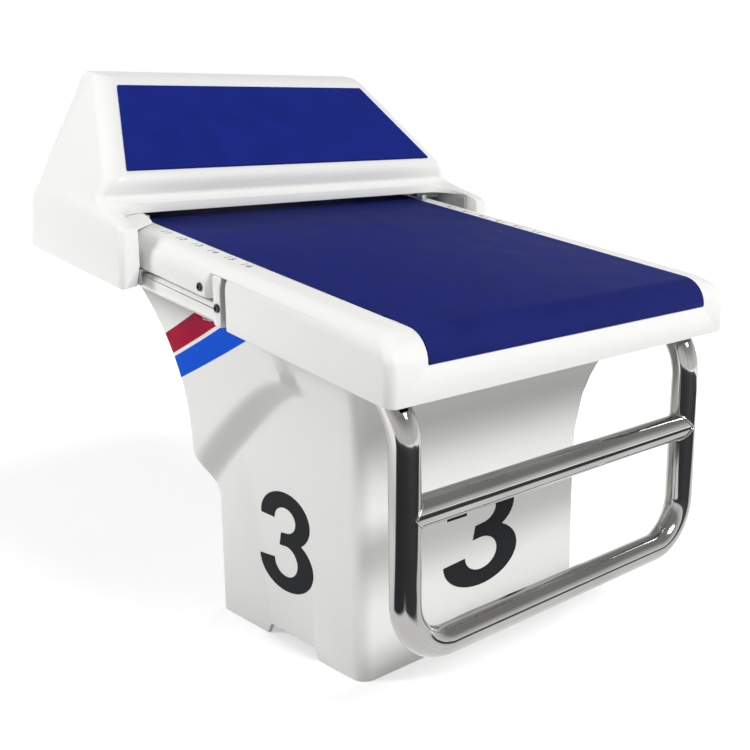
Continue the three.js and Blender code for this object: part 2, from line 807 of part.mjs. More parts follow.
const nutFoot = footPlateThickness + clearance;
const nutTop = nutFoot + anchorNutHeight;
const anchorProfile = [[0, anchorFootGap], [anchorRadius, anchorFootGap], [anchorRadius, nutFoot],
  [anchorNutRadius, nutFoot], [anchorNutRadius, nutTop], [anchorRadius, nutTop],
  [anchorRadius, nutTop + anchorStickOut], [0, nutTop + anchorStickOut]];
const anchorBolt = toGeometry(toSolid(new THREE.LatheGeometry(
  anchorProfile.map(([radius, z]) => new THREE.Vector2(radius, z)), boltSides).rotateX(Math.PI / 2)));
anchorPlaces.forEach(([name, x, y]) => add(name, anchorBolt, brushedSteel).position.set(x, y, 0));

add('head_plate', cut(onDeck(block(-headX, headX, -headY, headY, -headPlateDrop, -seatDrop)),
  ...seatHoles(headBoltX)), paintedSteel);

const post = extruded(tubeSection(postWidth, postWidth, postWall), deckFrontHeight)
  .translate(postOffset, 0, footPlateThickness + clearance);
addPair('support_post', overlap(post, onDeck(block(0, deckHalf, -postWidth, postWidth, -deckTop(0),
  -headPlateDrop - clearance))), paintedSteel);

const seatBolt = roundBolt(boltHeadRadius, boltHeadHeight, boltRadius, boltLength).rotateX(slope);
[['head_bolt', headBoltX, headPlateDrop], ['seat_bolt', seatBoltX, seatDrop + columnWall]]
  .forEach(([name, x, drop]) => [['front', -crossSeatOffset], ['rear', crossSeatOffset]]
    .forEach(([row, y]) => [['right', 1], ['left', -1]]
      .forEach(([hand, side]) => add(`${name}_${row}_${hand}`, seatBolt, brushedSteel)
        .position.copy(seatPoint(side * x, y, drop + clearance)))));

// Guide rails and their bolts

function guideRail() {
  const front = sidePanelEnd + railGroove;
  const rear = deckRear - railRearSetback;
  const foot = -railDrop - railHeight;
  const face = flangeInner + railThickness;
  const body = alongX(outline([
    [front, foot], [rear, foot], [rear, -railDrop], [front + railUprightWidth, -railDrop],
    [front + railUprightWidth, -flangeLedge - clearance], [front, -flangeLedge - clearance],
  ]), flangeInner, face);
  const corner = (level, size, up) => alongY(outline([
    [face - size, level], [face + overrun, level - up * (size + overrun)], [face + overrun, level + up * overrun],
    [face - size, level + up * overrun],
  ]), front + railUprightWidth, rear + overrun);
  const holes = guideHoles.map((hole) => hole.clone());
  return cut(onDeck(cut(body, corner(-railDrop, railTopChamfer, 1), corner(foot, railBottomChamfer, -1))), ...holes);
}
addPair('guide_rail', guideRail(), whitePaint);

const guideBolt = roundBolt(guideBoltHeadRadius, guideBoltHeadHeight, guideBoltRadius, guideBoltGrip)
  .rotateY(-Math.PI / 2);
guideBolts.forEach(({ name, face, y, drop }) => addPair(name,
  guideBolt.clone().translate(face + clearance, y, deckTop(y) - drop), brushedSteel));

// Handgrip

function neckBend(side, towardsNeck) {
  const centre = new THREE.Vector3(side * gripHalfSpan, gripY + gripNeckRadius, gripNeckHeight);
  const upright = new THREE.Vector3(0, -1, 0);
  const up = new THREE.Vector3(0, 0, 1);
  if (towardsNeck) return new Bend(centre, upright, up, gripNeckRadius, gripNeckAngle);
  const tail = upright.clone().multiplyScalar(Math.cos(gripNeckAngle)).addScaledVector(up, Math.sin(gripNeckAngle));
  const back = upright.clone().multiplyScalar(Math.sin(gripNeckAngle)).addScaledVector(up, -Math.cos(gripNeckAngle));
  return new Bend(centre, tail, back, gripNeckRadius, gripNeckAngle);
}

function handgripPath() {
  const cornerX = gripHalfSpan - gripCornerRadius;
  const cornerZ = gripBottomHeight + gripCornerRadius;
  const quarter = Math.PI / 2;
  const across = new THREE.Vector3(1, 0, 0);
  const down = new THREE.Vector3(0, 0, -1);
  const at = (x, z) => new THREE.Vector3(x, gripY, z);
  const rightNeck = neckBend(1, false);
  const leftNeck = neckBend(-1, true);
  const tailStep = new THREE.Vector3(0, Math.sin(gripNeckAngle), Math.cos(gripNeckAngle))
    .multiplyScalar(gripTailLength);
  return joinedPath(
    new THREE.LineCurve3(rightNeck.getPoint(0).add(tailStep), rightNeck.getPoint(0)),
    rightNeck,
    new THREE.LineCurve3(at(gripHalfSpan, gripNeckHeight), at(gripHalfSpan, cornerZ)),
    new Bend(at(cornerX, cornerZ), across, down, gripCornerRadius, quarter),
    new THREE.LineCurve3(at(cornerX, gripBottomHeight), at(-cornerX, gripBottomHeight)),
    new Bend(at(-cornerX, cornerZ), down, across.clone().negate(), gripCornerRadius, quarter),
    new THREE.LineCurve3(at(-gripHalfSpan, cornerZ), at(-gripHalfSpan, gripNeckHeight)),
    leftNeck,
    new THREE.LineCurve3(leftNeck.getPoint(1), leftNeck.getPoint(1).add(tailStep)),
  );
}
const gripPath = handgripPath();
add('handgrip_tube', sweep(gripPath, gripTubeRadius, gripSides, gripSteps, gripTubeWall), polishedSteel);

const gripRoom = sweep(gripPath, gripTubeRadius + clearance, gripSides, gripSteps);
const gripBar = sweep(new THREE.LineCurve3(new THREE.Vector3(-gripHalfSpan, gripY, gripBarHeight),
  new THREE.Vector3(gripHalfSpan, gripY, gripBarHeight)), gripTubeRadius, roundSides, 1, gripTubeWall);
add('handgrip_crossbar', cut(gripBar, gripRoom), polishedSteel);

const socketRear = crossFrontCentre - crossTubeWidth / 2 - clearance;
addPair('grip_socket', cut(onDeck(block(gripHalfSpan - socketWidth / 2, gripHalfSpan + socketWidth / 2,
  gripEndY - socketFrontReach, socketRear, -frameDrop, -crossDrop)), gripRoom), paintedSteel);

// Kick wedge

function kickFrontAt(lift) {
  return kickFaceFront + (lift - kickFaceLift) * (kickFaceRun / kickFaceRise);
}

function kickHalfAt(lift) {
  return THREE.MathUtils.mapLinear(lift, kickFaceLift, kickFaceLift + kickFaceRise, kickFaceHalf, kickBrowHalf);
}

function kickRearAt(lift) {
  return kickRear - edgePull(kickCrestLift - lift, kickCrestRadius);
}

// The corners are tighter on the legs and at the skirts' foot than they are on the wedge above.
function kickRing(lift, front, half, inset, radiusShare) {
  const { lerp } = THREE.MathUtils;
  const rear = kickRearAt(lift) - inset;
  const limit = (rear - front) * cornerLimitShare;
  const frontRadius = lerp(kickLegCornerRadius, kickFrontCornerRadius, rise(lift, kickHipLift, kickFaceLift - kickHipLift));
  const rearRadius = lerp(kickSkirtCornerRadius, kickRearCornerRadius, rise(lift, -kickSkirtDrop, kickSkirtDrop));
  return ring({
    half: half - inset, front, rear, height: lift,
    frontRadius: Math.min(frontRadius * radiusShare, limit),
    rearRadius: Math.min((rearRadius - inset) * radiusShare, limit),
  });
}

function kickSkin() {
  const { lerp } = THREE.MathUtils;
  const brow = kickFaceLift + kickFaceRise;
  const rows = [
    [-kickSkirtDrop, kickLegFront, kickSkirtHalf],
    [kickHipLift, kickLegFront, kickHipHalf],
    ...legTopShares.map(([up, back]) => [lerp(kickHipLift, kickLipLift, up), lerp(kickLegFront, kickLipFront, back),
      lerp(kickHipHalf, kickLipHalf, up)]),
    ...coveShares.map(([up, dip]) => [lerp(kickLipLift, kickNoseLift, up),
      lerp(kickLipFront, kickNoseFront, up) + kickCoveDepth * dip, lerp(kickLipHalf, kickNoseHalf, up)]),
    [kickFaceLift, kickFaceFront, kickFaceHalf],
    ...crestRearShares.map((share) => lerp(kickCrestLift - kickCrestRadius, kickCrestLift, share))
      .filter((lift) => lift < brow).map((lift) => [lift, kickFrontAt(lift), kickHalfAt(lift)]),
    [brow, kickFrontAt(brow), kickBrowHalf],
    ...crestShares.map(([up, back]) => [lerp(brow, kickCrestLift, up), lerp(kickFrontAt(brow), kickCrestFront, back),
      lerp(kickBrowHalf, kickCrestHalf, up)]),
  ];
  return onDeck(loft(rows.map(([lift, front, half]) => kickRing(lift, front, half, 0, 1))));
}

const kickRoomHalf = legInner - kickWall;
function kickRoom() {
  const front = kickLipFront + kickCoveDepth + kickWall;
  const faceInset = kickWall * Math.hypot(1, kickFaceRun / kickFaceRise);
  const turn = kickFaceLift + (front - faceInset - kickFaceFront) * (kickFaceRise / kickFaceRun);
  const roof = kickCrestLift - kickRoofThickness;
  const rows = [
    [kickLipGap - overrun, front, kickRoomHalf + kickWall],
    [kickNoseLift, front, kickRoomHalf + kickWall],
    [turn, front, kickHalfAt(turn)],
    [roof, kickFrontAt(roof) + faceInset, kickHalfAt(roof)],
  ];
  return onDeck(loft(rows.map(([lift, y, half]) => kickRing(lift, y, half, kickWall, cavityCornerShare))));
}

// The gap between the legs, in plan, with its inner corners rounded where the lip meets the legs.
function legGap() {
  const front = kickLegFront - overrun;
  const turn = legInner - kickLipFillet;
  const shape = new THREE.Shape();
  shape.moveTo(-legInner, front);
  shape.lineTo(legInner, front);
  shape.lineTo(legInner, kickLipFront - kickLipFillet);
  shape.absarc(turn, kickLipFront - kickLipFillet, kickLipFillet, 0, Math.PI / 2, false);
  shape.lineTo(-turn, kickLipFront);
  shape.absarc(-turn, kickLipFront - kickLipFillet, kickLipFillet, Math.PI / 2, Math.PI, false);
  return onDeck(extruded(shape, kickSkirtDrop + kickNoseLift + overrun)
    .translate(0, 0, -kickSkirtDrop - overrun));
}

// The foot pad lies on the wedge's face: its own X is across, Y up the face and Z out of it.
const faceStart = new THREE.Vector3(0, kickFaceFront, deckTop(kickFaceFront) + kickFaceLift);
const faceEndY = kickFaceFront + kickFaceRun;
const faceEnd = new THREE.Vector3(0, faceEndY, deckTop(faceEndY) + kickFaceLift + kickFaceRise);
const faceLength = faceStart.distanceTo(faceEnd);
const faceUp = faceEnd.clone().sub(faceStart).normalize();
const faceOut = new THREE.Vector3(0, -faceUp.z, faceUp.y);
const facePlace = new THREE.Matrix4().makeBasis(new THREE.Vector3(1, 0, 0), faceUp, faceOut).setPosition(faceStart);

function facePanel(grow, floor, depth) {
  const foot = padBottomInset - grow;
  const head = faceLength - padTopInset + grow;
  const [wide, narrow] = [padBottomHalf + grow, padTopHalf + grow];
  return extruded(outline([[-wide, foot], [wide, foot], [narrow, head], [-narrow, head]]), depth)
    .translate(0, 0, floor).applyMatrix4(facePlace);
}

function kickHousing() {
  const saddle = onDeck(block(-legInner, legInner, kickLegFront - overrun, kickRear + overrun,
    -kickSkirtDrop - overrun, kickLipGap));
  const handHole = onDeck(block(-handHoleHalf, handHoleHalf, kickRear - kickRearCornerRadius, kickRear + overrun,
    kickLipGap - overrun, handHoleLift));
  const skirtPocket = onDeck(block(legInner + skirtWall, kickHipHalf - skirtWall, kickLegFront + skirtPocketFront,
    kickRear - skirtPocketRear, -kickSkirtDrop - overrun, -skirtPocketDrop));
  return cut(kickSkin(), kickRoom(), legGap(), saddle, handHole, facePanel(clearance, -padRecess, padThickness),
    ...bothSides(skirtPocket));
}
add('kick_housing', kickHousing(), whiteMoulding);
add('kick_pad', facePanel(0, clearance - padRecess, padThickness), blueGrip);

// Slides under the wedge

const glideOuter = legInner - clearance;
const glideInner = matHalf + glideMatGap;
const glideTop = kickLipGap - clearance;
function glide(tabFront, tabRear, footFront) {
  const foot = block(glideInner, glideOuter, footFront, footFront + glideFootLength, clearance, glideTop);
  const tab = block(deckHalf + clearance, glideOuter, tabFront, tabRear, -glideTabDrop, glideTop);
  return onDeck(join(foot, tab));
}
const glideTabFront = kickLegFront + glideTabSetback;
const glideFrontEnd = glideTabFront + glideTabLength;
const glideRearEnd = kickRear - glideRearSetback;
addPair('glide_front', glide(glideTabFront, glideFrontEnd, glideFrontEnd - glideFootLength), greyNylon);
addPair('glide_rear', glide(glideRearEnd - glideFootLength, glideRearEnd, glideRearEnd - glideFootLength), greyNylon);

const slotMiddle = -flangeDepth - railSlot / 2;
const tongueTop = slotMiddle + tongueThickness / 2;
const tongueFoot = tongueRise - kickSkirtDrop;
addPair('slide_tongue', onDeck(alongY(outline([
  [deckHalf - tongueReach, tongueTop], [deckHalf - tongueReach, tongueTop - tongueThickness],
  [glideOuter - tongueLeaf, tongueTop - tongueThickness], [glideOuter - tongueLeaf, tongueFoot],
  [glideOuter, tongueFoot], [glideOuter, tongueTop],
]), kickLegFront + tongueFrontSetback, kickRear - tongueRearSetback)), aluminium);

const pointerRear = kickLipFront + pointerRearReach;
const pointerOuter = deckHalf - pointerInset;
add('position_pointer', onDeck(block(-pointerOuter, pointerWidth - pointerOuter, pointerRear - pointerLength,
  pointerRear, pointerFloat, glideTop)), whiteMoulding);

// Latch: its pieces are drawn level about the rod's centre, then turned with the deck and lifted clear

const rodHeight = deckTop(latchRodY) + latchRodLift;
const bearingOuter = kickRoomHalf - clearance;
function onRod(geometry) {
  return geometry.rotateX(slope + latchLift).translate(0, latchRodY, rodHeight);
}

function rodBore(half) {
  return new THREE.CylinderGeometry(latchRodRadius + clearance, latchRodRadius + clearance, 2 * half, roundSides)
    .rotateZ(Math.PI / 2);
}

const rodHalf = bearingOuter - latchRodInset;
add('latch_rod', onRod(new THREE.CylinderGeometry(latchRodRadius, latchRodRadius, 2 * rodHalf, roundSides)
  .rotateZ(Math.PI / 2)), brushedSteel);

addPair('latch_bearing', cut(onDeck(block(bearingOuter - bearingLength, bearingOuter,
  latchRodY - bearingDepth / 2, latchRodY + bearingDepth / 2, kickLipGap + clearance, bearingLift)),
crossPin(latchRodRadius + clearance, bearingOuter - bearingLength - overrun, bearingOuter + overrun, latchRodY,
  latchRodLift)), greyNylon);

const toothTip = stripFloor + toothTipFloat - latchRodLift;
function pawl() {
  const inner = pawlX - pawlThickness / 2;
  const outer = pawlX + pawlThickness / 2;
  const hub = new THREE.CylinderGeometry(hubRadius, hubRadius, pawlThickness, roundSides)
    .rotateZ(Math.PI / 2).translate(pawlX, 0, 0);
  const arm = alongX(outline([
    [0, -pawlArmHeight / 2], [pawlReach - toothWidth / 2, -pawlArmHeight / 2], [pawlReach - toothWidth / 2, toothTip],
    [pawlReach + toothWidth / 2, toothTip], [pawlReach + toothWidth / 2, pawlArmHeight / 2], [0, pawlArmHeight / 2],
  ]), inner, outer);
  return onRod(cut(join(hub, arm), rodBore(deckHalf)));
}
addPair('latch_pawl', pawl(), brushedSteel);

function releaseHandle() {
  const at = (x, y) => new THREE.Vector3(x, y, 0);
  const bendX = handleHalf - handleBendRadius;
  const bendY = handleReach - handleBendRadius;
  const across = new THREE.Vector3(1, 0, 0);
  const back = new THREE.Vector3(0, 1, 0);
  const path = joinedPath(
    new THREE.LineCurve3(at(handleHalf, hubRadius / 2), at(handleHalf, bendY)),
    new Bend(at(bendX, bendY), across, back, handleBendRadius, Math.PI / 2),
    new THREE.LineCurve3(at(bendX, handleReach), at(-bendX, handleReach)),
    new Bend(at(-bendX, bendY), back, across.clone().negate(), handleBendRadius, Math.PI / 2),
    new THREE.LineCurve3(at(-handleHalf, bendY), at(-handleHalf, hubRadius / 2)),
  );
  const hub = new THREE.CylinderGeometry(hubRadius, hubRadius, handleHubLength, roundSides)
    .rotateZ(Math.PI / 2).translate(handleHalf, 0, 0);
  return onRod(cut(join(sweep(path, handleRadius, boltSides, handleSteps), ...bothSides(hub)), rodBore(deckHalf)));
}
add('release_handle', releaseHandle(), polishedSteel);

const springRadius = latchRodRadius + springFit + springWireRadius;
add('latch_spring', sweep(new Helix(springRadius, springPitch, springTurns), springWireRadius, springSides,
  springTurns * springTurnSteps).translate(pawlX - springInset, latchRodY, rodHeight), brushedSteel);

// Index strips: toothed bars on the deck's rims, with one notch for each place of the wedge
function indexStrip() {
  const firstNotch = latchRodY + pawlReach * Math.cos(slope) - (toothTip + toothWidth / 2) * Math.sin(slope);
  const pitch = positionPitch * Math.cos(slope);
  const half = notchWidth / 2;
  const front = firstNotch - (positionCount - 1) * pitch - half - stripEnd;
  const rear = firstNotch + half + stripEnd;
  const notches = Array.from({ length: positionCount }, (_, i) => firstNotch - i * pitch).flatMap((y) => [
    [y + half, stripLift], [y + half, stripFloor], [y - half, stripFloor], [y - half, stripLift]]);
  return onDeck(alongX(outline([[front, clearance], [rear, clearance], [rear, stripLift], ...notches,
    [front, stripLift]]), pawlX - stripWidth / 2, pawlX + stripWidth / 2));
}
addPair('index_strip', indexStrip(), aluminium);

export default startingBlock;
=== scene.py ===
import json
import math
from functools import reduce

import bmesh
import bpy
import numpy as np
from bpy.props import FloatProperty, FloatVectorProperty, PointerProperty
from bpy.types import Operator, Panel, PropertyGroup
from mathutils import Matrix, Vector

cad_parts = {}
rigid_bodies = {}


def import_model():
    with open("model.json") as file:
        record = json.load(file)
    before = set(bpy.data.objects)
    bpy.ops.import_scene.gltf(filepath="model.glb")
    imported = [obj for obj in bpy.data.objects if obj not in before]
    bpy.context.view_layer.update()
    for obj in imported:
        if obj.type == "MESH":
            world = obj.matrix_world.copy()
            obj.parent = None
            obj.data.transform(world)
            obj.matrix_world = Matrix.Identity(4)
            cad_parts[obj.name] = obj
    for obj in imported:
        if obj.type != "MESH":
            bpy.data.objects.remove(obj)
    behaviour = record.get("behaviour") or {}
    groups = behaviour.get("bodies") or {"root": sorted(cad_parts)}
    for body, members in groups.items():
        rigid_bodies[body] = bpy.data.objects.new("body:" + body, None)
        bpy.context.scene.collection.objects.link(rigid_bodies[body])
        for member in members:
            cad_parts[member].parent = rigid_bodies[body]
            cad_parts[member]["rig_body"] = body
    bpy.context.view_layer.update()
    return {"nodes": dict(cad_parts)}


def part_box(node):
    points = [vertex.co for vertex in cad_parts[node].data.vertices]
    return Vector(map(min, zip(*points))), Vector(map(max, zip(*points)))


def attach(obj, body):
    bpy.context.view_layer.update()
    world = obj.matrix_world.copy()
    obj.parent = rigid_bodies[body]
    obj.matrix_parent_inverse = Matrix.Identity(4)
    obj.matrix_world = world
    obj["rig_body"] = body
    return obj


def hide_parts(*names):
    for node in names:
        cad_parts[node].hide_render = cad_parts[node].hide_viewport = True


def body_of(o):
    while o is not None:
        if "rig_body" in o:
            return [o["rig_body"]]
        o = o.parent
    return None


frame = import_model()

bl_info = {
    "name": "Swimming starting block",
    "version": (1, 0, 0),
    "blender": (4, 5, 0),
    "location": "View3D > Sidebar > Starting block",
    "description": "Builds a starting block's shells, mat, handgrip, markings and finishes over its frame",
    "category": "Add Mesh",
}

# Metres. The pool lies towards -Y and +Z is up. A "drop" is a depth straight down from the deck's sloping
# top plane, and a "lift" a height above it.
# A cutter runs past a surface by the overrun, and one that goes right through by far more. Points closer than
# a merge distance become one, and edges that turn by less than the flat angle are left out.
GAP = 0.0003
OVERRUN = 0.003
HAIR = 0.0001
THROUGH, FAR_PAST = 0.3, 1.0
MERGE_DISTANCE, NODE_MERGE_DISTANCE = 1e-6, 1e-5
FLAT_ANGLE = math.radians(0.4)

# Deck
DECK_SLOPE = math.tan(math.radians(8.65))
DECK_FRONT_HEIGHT = 0.4615
DECK_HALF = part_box("platform_shell")[1][0]
DECK_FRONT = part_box("platform_shell")[0][1]
DECK_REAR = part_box("platform_shell")[1][1]
DECK_DEPTH = 0.070
DECK_WALL = 0.005
DECK_EDGE_RADIUS = 0.028
DECK_CORNER_RADIUS = 0.012
CORNER_GROWTH = 0.8
SIDE_PANEL_END = DECK_FRONT + 0.280
FLANGE_START = SIDE_PANEL_END + 0.0275
FLANGE_INNER = DECK_HALF - 0.017
FLANGE_DEPTH = 0.042
FLANGE_LEDGE = 0.012
FLANGE_END_CHAMFER = 0.012
FRAME_REAR_SETBACK = 0.022
MAT_HALF = DECK_HALF - 0.053
MAT_REAR = DECK_REAR - 0.125
MAT_PROUD = 0.001
MAT_POCKET = 0.003
MAT_FRONT_DROP = 0.031
PANEL_END_RADIUS = 0.005

# Column
COLUMN_HALF = 0.203
COLUMN_END = 0.1535
COLUMN_WALL = 0.006
COLUMN_CORNER_RADIUS = 0.019
SEAT_DROP = DECK_DEPTH + GAP
FLARE_REACH, FLARE_DROP, FLARE_POWER = 0.061, 0.215, 2.5
SHOULDER_REACH, SHOULDER_FRONT, SHOULDER_FRONT_BLEND = 0.028, -0.059, 0.018
SHOULDER_LOW, SHOULDER_HIGH = 0.175, 0.346
SHOULDER_LOW_BLEND, SHOULDER_HIGH_BLEND, SHOULDER_BOW = 0.062, 0.026, 1.37
HEEL_REACH, HEEL_START, HEEL_END = 0.020, 0.150, 0.230
BACK_LEAN, BACK_LEAN_RISE, BACK_LEAN_POWER = 0.085, 0.250, 1.8
TOE_FRONT, TOE_REAR, TOE_HEIGHT, TOE_SLANT = -0.060, 0.032, 0.015, 0.009
VENT_Y, VENT_LENGTH, VENT_HEIGHT, VENT_DROP = 0.074, 0.020, 0.006, 0.016

# Kick wedge
KICK_REAR = DECK_REAR + 0.018
KICK_FACE_RUN, KICK_FACE_RISE, KICK_BROW_DEPTH = 0.1188, 0.105, 0.0737
KICK_FACE_FRONT = KICK_REAR - KICK_BROW_DEPTH - KICK_FACE_RUN
KICK_NOSE_FRONT = KICK_FACE_FRONT - 0.002
KICK_LIP_FRONT = KICK_NOSE_FRONT - 0.0045
KICK_LEG_FRONT = KICK_LIP_FRONT - 0.0655
KICK_SKIRT_DROP, KICK_HIP_LIFT, KICK_LIP_LIFT = DECK_DEPTH - 0.0053, 0.006, 0.025
KICK_NOSE_LIFT, KICK_FACE_LIFT, KICK_CREST_LIFT = 0.051, 0.060, 0.1724
KICK_SKIRT_HALF, KICK_HIP_HALF, KICK_LIP_HALF = DECK_HALF + 0.033, DECK_HALF + 0.0305, DECK_HALF + 0.018
KICK_NOSE_HALF, KICK_FACE_HALF = DECK_HALF + 0.0055, DECK_HALF + 0.0015
KICK_BROW_HALF, KICK_CREST_HALF = DECK_HALF - 0.057, DECK_HALF - 0.064
KICK_CREST_FRONT = KICK_FACE_FRONT + KICK_FACE_RUN + 0.0242
KICK_CREST_RADIUS = 0.024
KICK_LEG_CORNER, KICK_FRONT_CORNER, KICK_SKIRT_CORNER, KICK_REAR_CORNER = 0.008, 0.024, 0.022, 0.038
KICK_LIP_GAP, KICK_LIP_FILLET, KICK_COVE_DEPTH = 0.0125, 0.045, 0.0085
KICK_WALL, KICK_ROOF = 0.006, 0.015
CORNER_LIMIT, ROOM_CORNER_SHARE, ROW_SPACE = 0.4, 0.7, 0.001
LEG_INNER = DECK_HALF + 0.0055
LEG_SIDE_WALL, LEG_FRONT_WALL, LEG_REAR_WALL, LEG_ROOF = 0.005, 0.010, 0.026, 0.002
HAND_HOLE_HALF, HAND_HOLE_LIFT = 0.095, 0.062
FACET_LIFT, FACET_WIDTH, FACET_DEPTH = -0.034, 0.0245, 0.0095
FACET_GROWTH, FACET_THICKNESS = 1.6, 0.03
PAD_BOTTOM_HALF, PAD_TOP_HALF = KICK_FACE_HALF - 0.0292, KICK_BROW_HALF - 0.023
PAD_BOTTOM_INSET, PAD_TOP_INSET, PAD_THICKNESS, PAD_RECESS = 0.0088, 0.0095, 0.004, 0.002

# Handgrip
GRIP_RADIUS, GRIP_HALF_SPAN, GRIP_Y = 0.0175, DECK_HALF - 0.0445, DECK_FRONT + 0.027
GRIP_BOTTOM, GRIP_BAR_HEIGHT, GRIP_CORNER_RADIUS = 0.1064, 0.2657, 0.062
GRIP_NECK_RADIUS, GRIP_NECK_ANGLE = 0.080, math.radians(50)
GRIP_END_Y, GRIP_END_RISE = DECK_FRONT + 0.0893, 0.0195
BEAD_RADIUS, BEAD_PROUD = 0.0016, 0.0003

# Button-head bolts: the socket's sizes are shares of the head's radius, and depths below its top
BOLT_LENGTH, BOLT_SHANK, HEAD_HEIGHT = 0.026, 0.003, 0.0024
HEAD_ROUND, HEAD_EDGE = 0.0018, 0.0007
SOCKET_MOUTH, SOCKET_FLOOR, SOCKET_DEPTH, SOCKET_POINT = 0.45, 0.42, 0.0017, 0.0019

# Pointer: its half widths, its lengths ahead of the wedge's lip, and how far each level draws back
POINTER_OUTER, POINTER_SHOULDER, POINTER_ROOT = DECK_HALF - 0.0005, 0.2545, 0.2525
POINTER_REAR, POINTER_LENGTH, POINTER_SHOULDER_LENGTH = KICK_LIP_FRONT + 0.015, 0.063, 0.031
POINTER_LIFTS = (0.0022, 0.0030, 0.0060, 0.0090, 0.0122)
POINTER_PULLS = (0.0010, 0.0, 0.0030, 0.0090, 0.0200)
POINTER_TAPER, POINTER_CORNER = 0.2, 0.004

# Latch's rod and its handle
ROD_Y, ROD_HEIGHT = KICK_REAR - 0.1005, 0.57944
LATCH_LIFT = math.radians(14)
HANDLE_HALF, HANDLE_REACH, HANDLE_RADIUS, HANDLE_BEND = 0.060, 0.112, 0.005, 0.016
HUB_RADIUS, HUB_LENGTH, HUB_EDGE = 0.011, 0.016, 0.001

# Rounding of the smaller pieces' edges
MAT_EDGE, PAD_EDGE, POINTER_EDGE, MOULDED_EDGE, METAL_EDGE = 0.0008, 0.0007, 0.0006, 0.001, 0.0005

# Finishes: the coat's roughness, and how far polishing lines darken and roughen a tube
COAT_ROUGHNESS, POLISH_SHADE, POLISH_ROUGHNESS = 0.08, 0.45, 0.06

# Markings. A stripe's level is the height plus its slant times y, and a number's shape is its width over its
# height.
STRIPE_SLANT, STRIPE_UPPER, STRIPE_LOWER = 0.427, (0.4461, 0.4771), (0.4091, 0.4411)
STRIPE_EDGE, STRIPE_STEP = 0.0003, (COLUMN_HALF + 0.002, COLUMN_HALF + 0.0024)
NUMBER_HEIGHT, FRONT_NUMBER_X, FLANK_NUMBER_Y = 0.1415, 0.004, -0.005
FRONT_NUMBER_SHAPE, FLANK_NUMBER_SHAPE = 0.98, 0.83
FILM, RIM_FILM_SHARE = 0.0003, 1 / 3
MARK_COUNT, MARK_PITCH, MARK_START = 6, 0.035, -0.022
TICK_HALF_WIDTH, TICK_HALF_LENGTH, TICK_SETBACK, NUMERAL_AHEAD = 0.0007, 0.0055, 0.004, 0.006
NUMERAL_BOLDNESS = 0.02

# Lights: each lamp's name, place, width and power, how bright the floor near the block and the sky overhead
# look, and how much light the sky gives
LAMPS = (("side", (-2.78, 1.73, 2.05), 1.05, 84), ("front", (0.6, -4.8, 3.9), 2.2, 302),
         ("fill", (2.25, 1.12, 0.95), 1.0, 20))
LAMP_AIM = (0, 0, 0.4)
FLOOR_NEAR, SKY_MIRRORED, SKY_LIGHT, ZENITH_LIGHT = 0.48, 0.33, 0.19, 0.30
FLOOR_HALF, FLOOR_FADE, SKY_FADE = 6, (0.9, 1.6), (0.03, 0.5)
# Patches of the floor painted dark for glossy rays only, a painted reflection that the polished steel mirrors
# as dark: along X and then along Y, each from, to and how soft
MIRROR_PAINTED_DARK_PATCHES = (((-4.0, -0.52, 0.04), (-4.0, -0.05, 0.05)), ((-4.0, 0.05, 0.05), (-4.0, -0.55, 0.03)),
              ((-4.0, 1.6, 0.05), (-3.5, -0.62, 0.04)))

# Shares that shape the wedge's rows: how far up, and how far back or in, between two named places
LEG_TOP_SHARES = [(0, 0), (0.24, 0.03), (0.42, 0.17), (0.72, 0.63), (1, 1)]
COVE_SHARES = [(0, 0), (0.07, 0.5), (0.17, 0.88), (0.27, 1), (0.62, 0.56), (1, 0)]
CREST_SHARES = [(0, 0), (0.45, 0.25), (0.8, 0.6), (1, 1)]

# Camera: where it stands, and the way it looks
CAMERA_PLACE = (-0.9989, -1.0761, 0.6694)
CAMERA_YAW, CAMERA_PITCH, CAMERA_ROLL = math.radians(-41.645), math.radians(-13.067), math.radians(-0.619)
CAMERA_LENS, CAMERA_SENSOR = 52.91, 36.0


def deck_top(y):
    """Height of the deck's top plane at y: a straight line that rises towards the rear."""
    return DECK_FRONT_HEIGHT + DECK_SLOPE * (y - DECK_FRONT)


def on_deck(points):
    """Level points lifted onto the deck's plane: each height grows by the plane's height at its y."""
    points = np.array(points, dtype=float)
    points[..., 2] += deck_top(points[..., 1])
    return points


# Surfaces

def mesh_piece(name, points, faces):
    mesh = bpy.data.meshes.new(name)
    mesh.from_pydata(np.asarray(points).reshape(-1, 3).tolist(), [], faces)
    mesh.validate()
    piece = bpy.data.objects.new(name, mesh)
    bpy.context.collection.objects.link(piece)
    return piece


def loft(name, rings):
    """Skin over rings of equal length: ring i, point j joins ring i + 1, point j + 1, and both ends are
    capped."""
    rings = np.asarray(rings)
    levels, count = rings.shape[:2]
    index = np.arange(levels * count).reshape(levels, count)
    a, b = index[:-1], np.roll(index[:-1], -1, axis=1)
    quads = np.stack([a, b, np.roll(index[1:], -1, axis=1), index[1:]], axis=-1).reshape(-1, 4).tolist()
    return mesh_piece(name, rings, quads + [index[0, ::-1].tolist(), index[-1].tolist()])


def prism(name, outline, low, high, axis):
    """An outline carried from low to high along X, Y or Z. Its two numbers are the other two axes."""
    outline = np.asarray(outline, dtype=float)
    rings = np.empty((2, len(outline), 3))
    others = [k for k in range(3) if k != axis]
    rings[..., others] = outline
    rings[0, :, axis], rings[1, :, axis] = low, high
    return outward(loft(name, rings))


def block(name, low, high):
    (x0, y0, z0), (x1, y1, z1) = low, high
    return prism(name, [(x0, y0), (x1, y0), (x1, y1), (x0, y1)], z0, z1, 2)


def outward(piece):
    """Turns all faces of a closed mesh to face out."""
    shell = bmesh.new()
    shell.from_mesh(piece.data)
    bmesh.ops.recalc_face_normals(shell, faces=shell.faces)
    shell.to_mesh(piece.data)
    shell.free()
    return piece


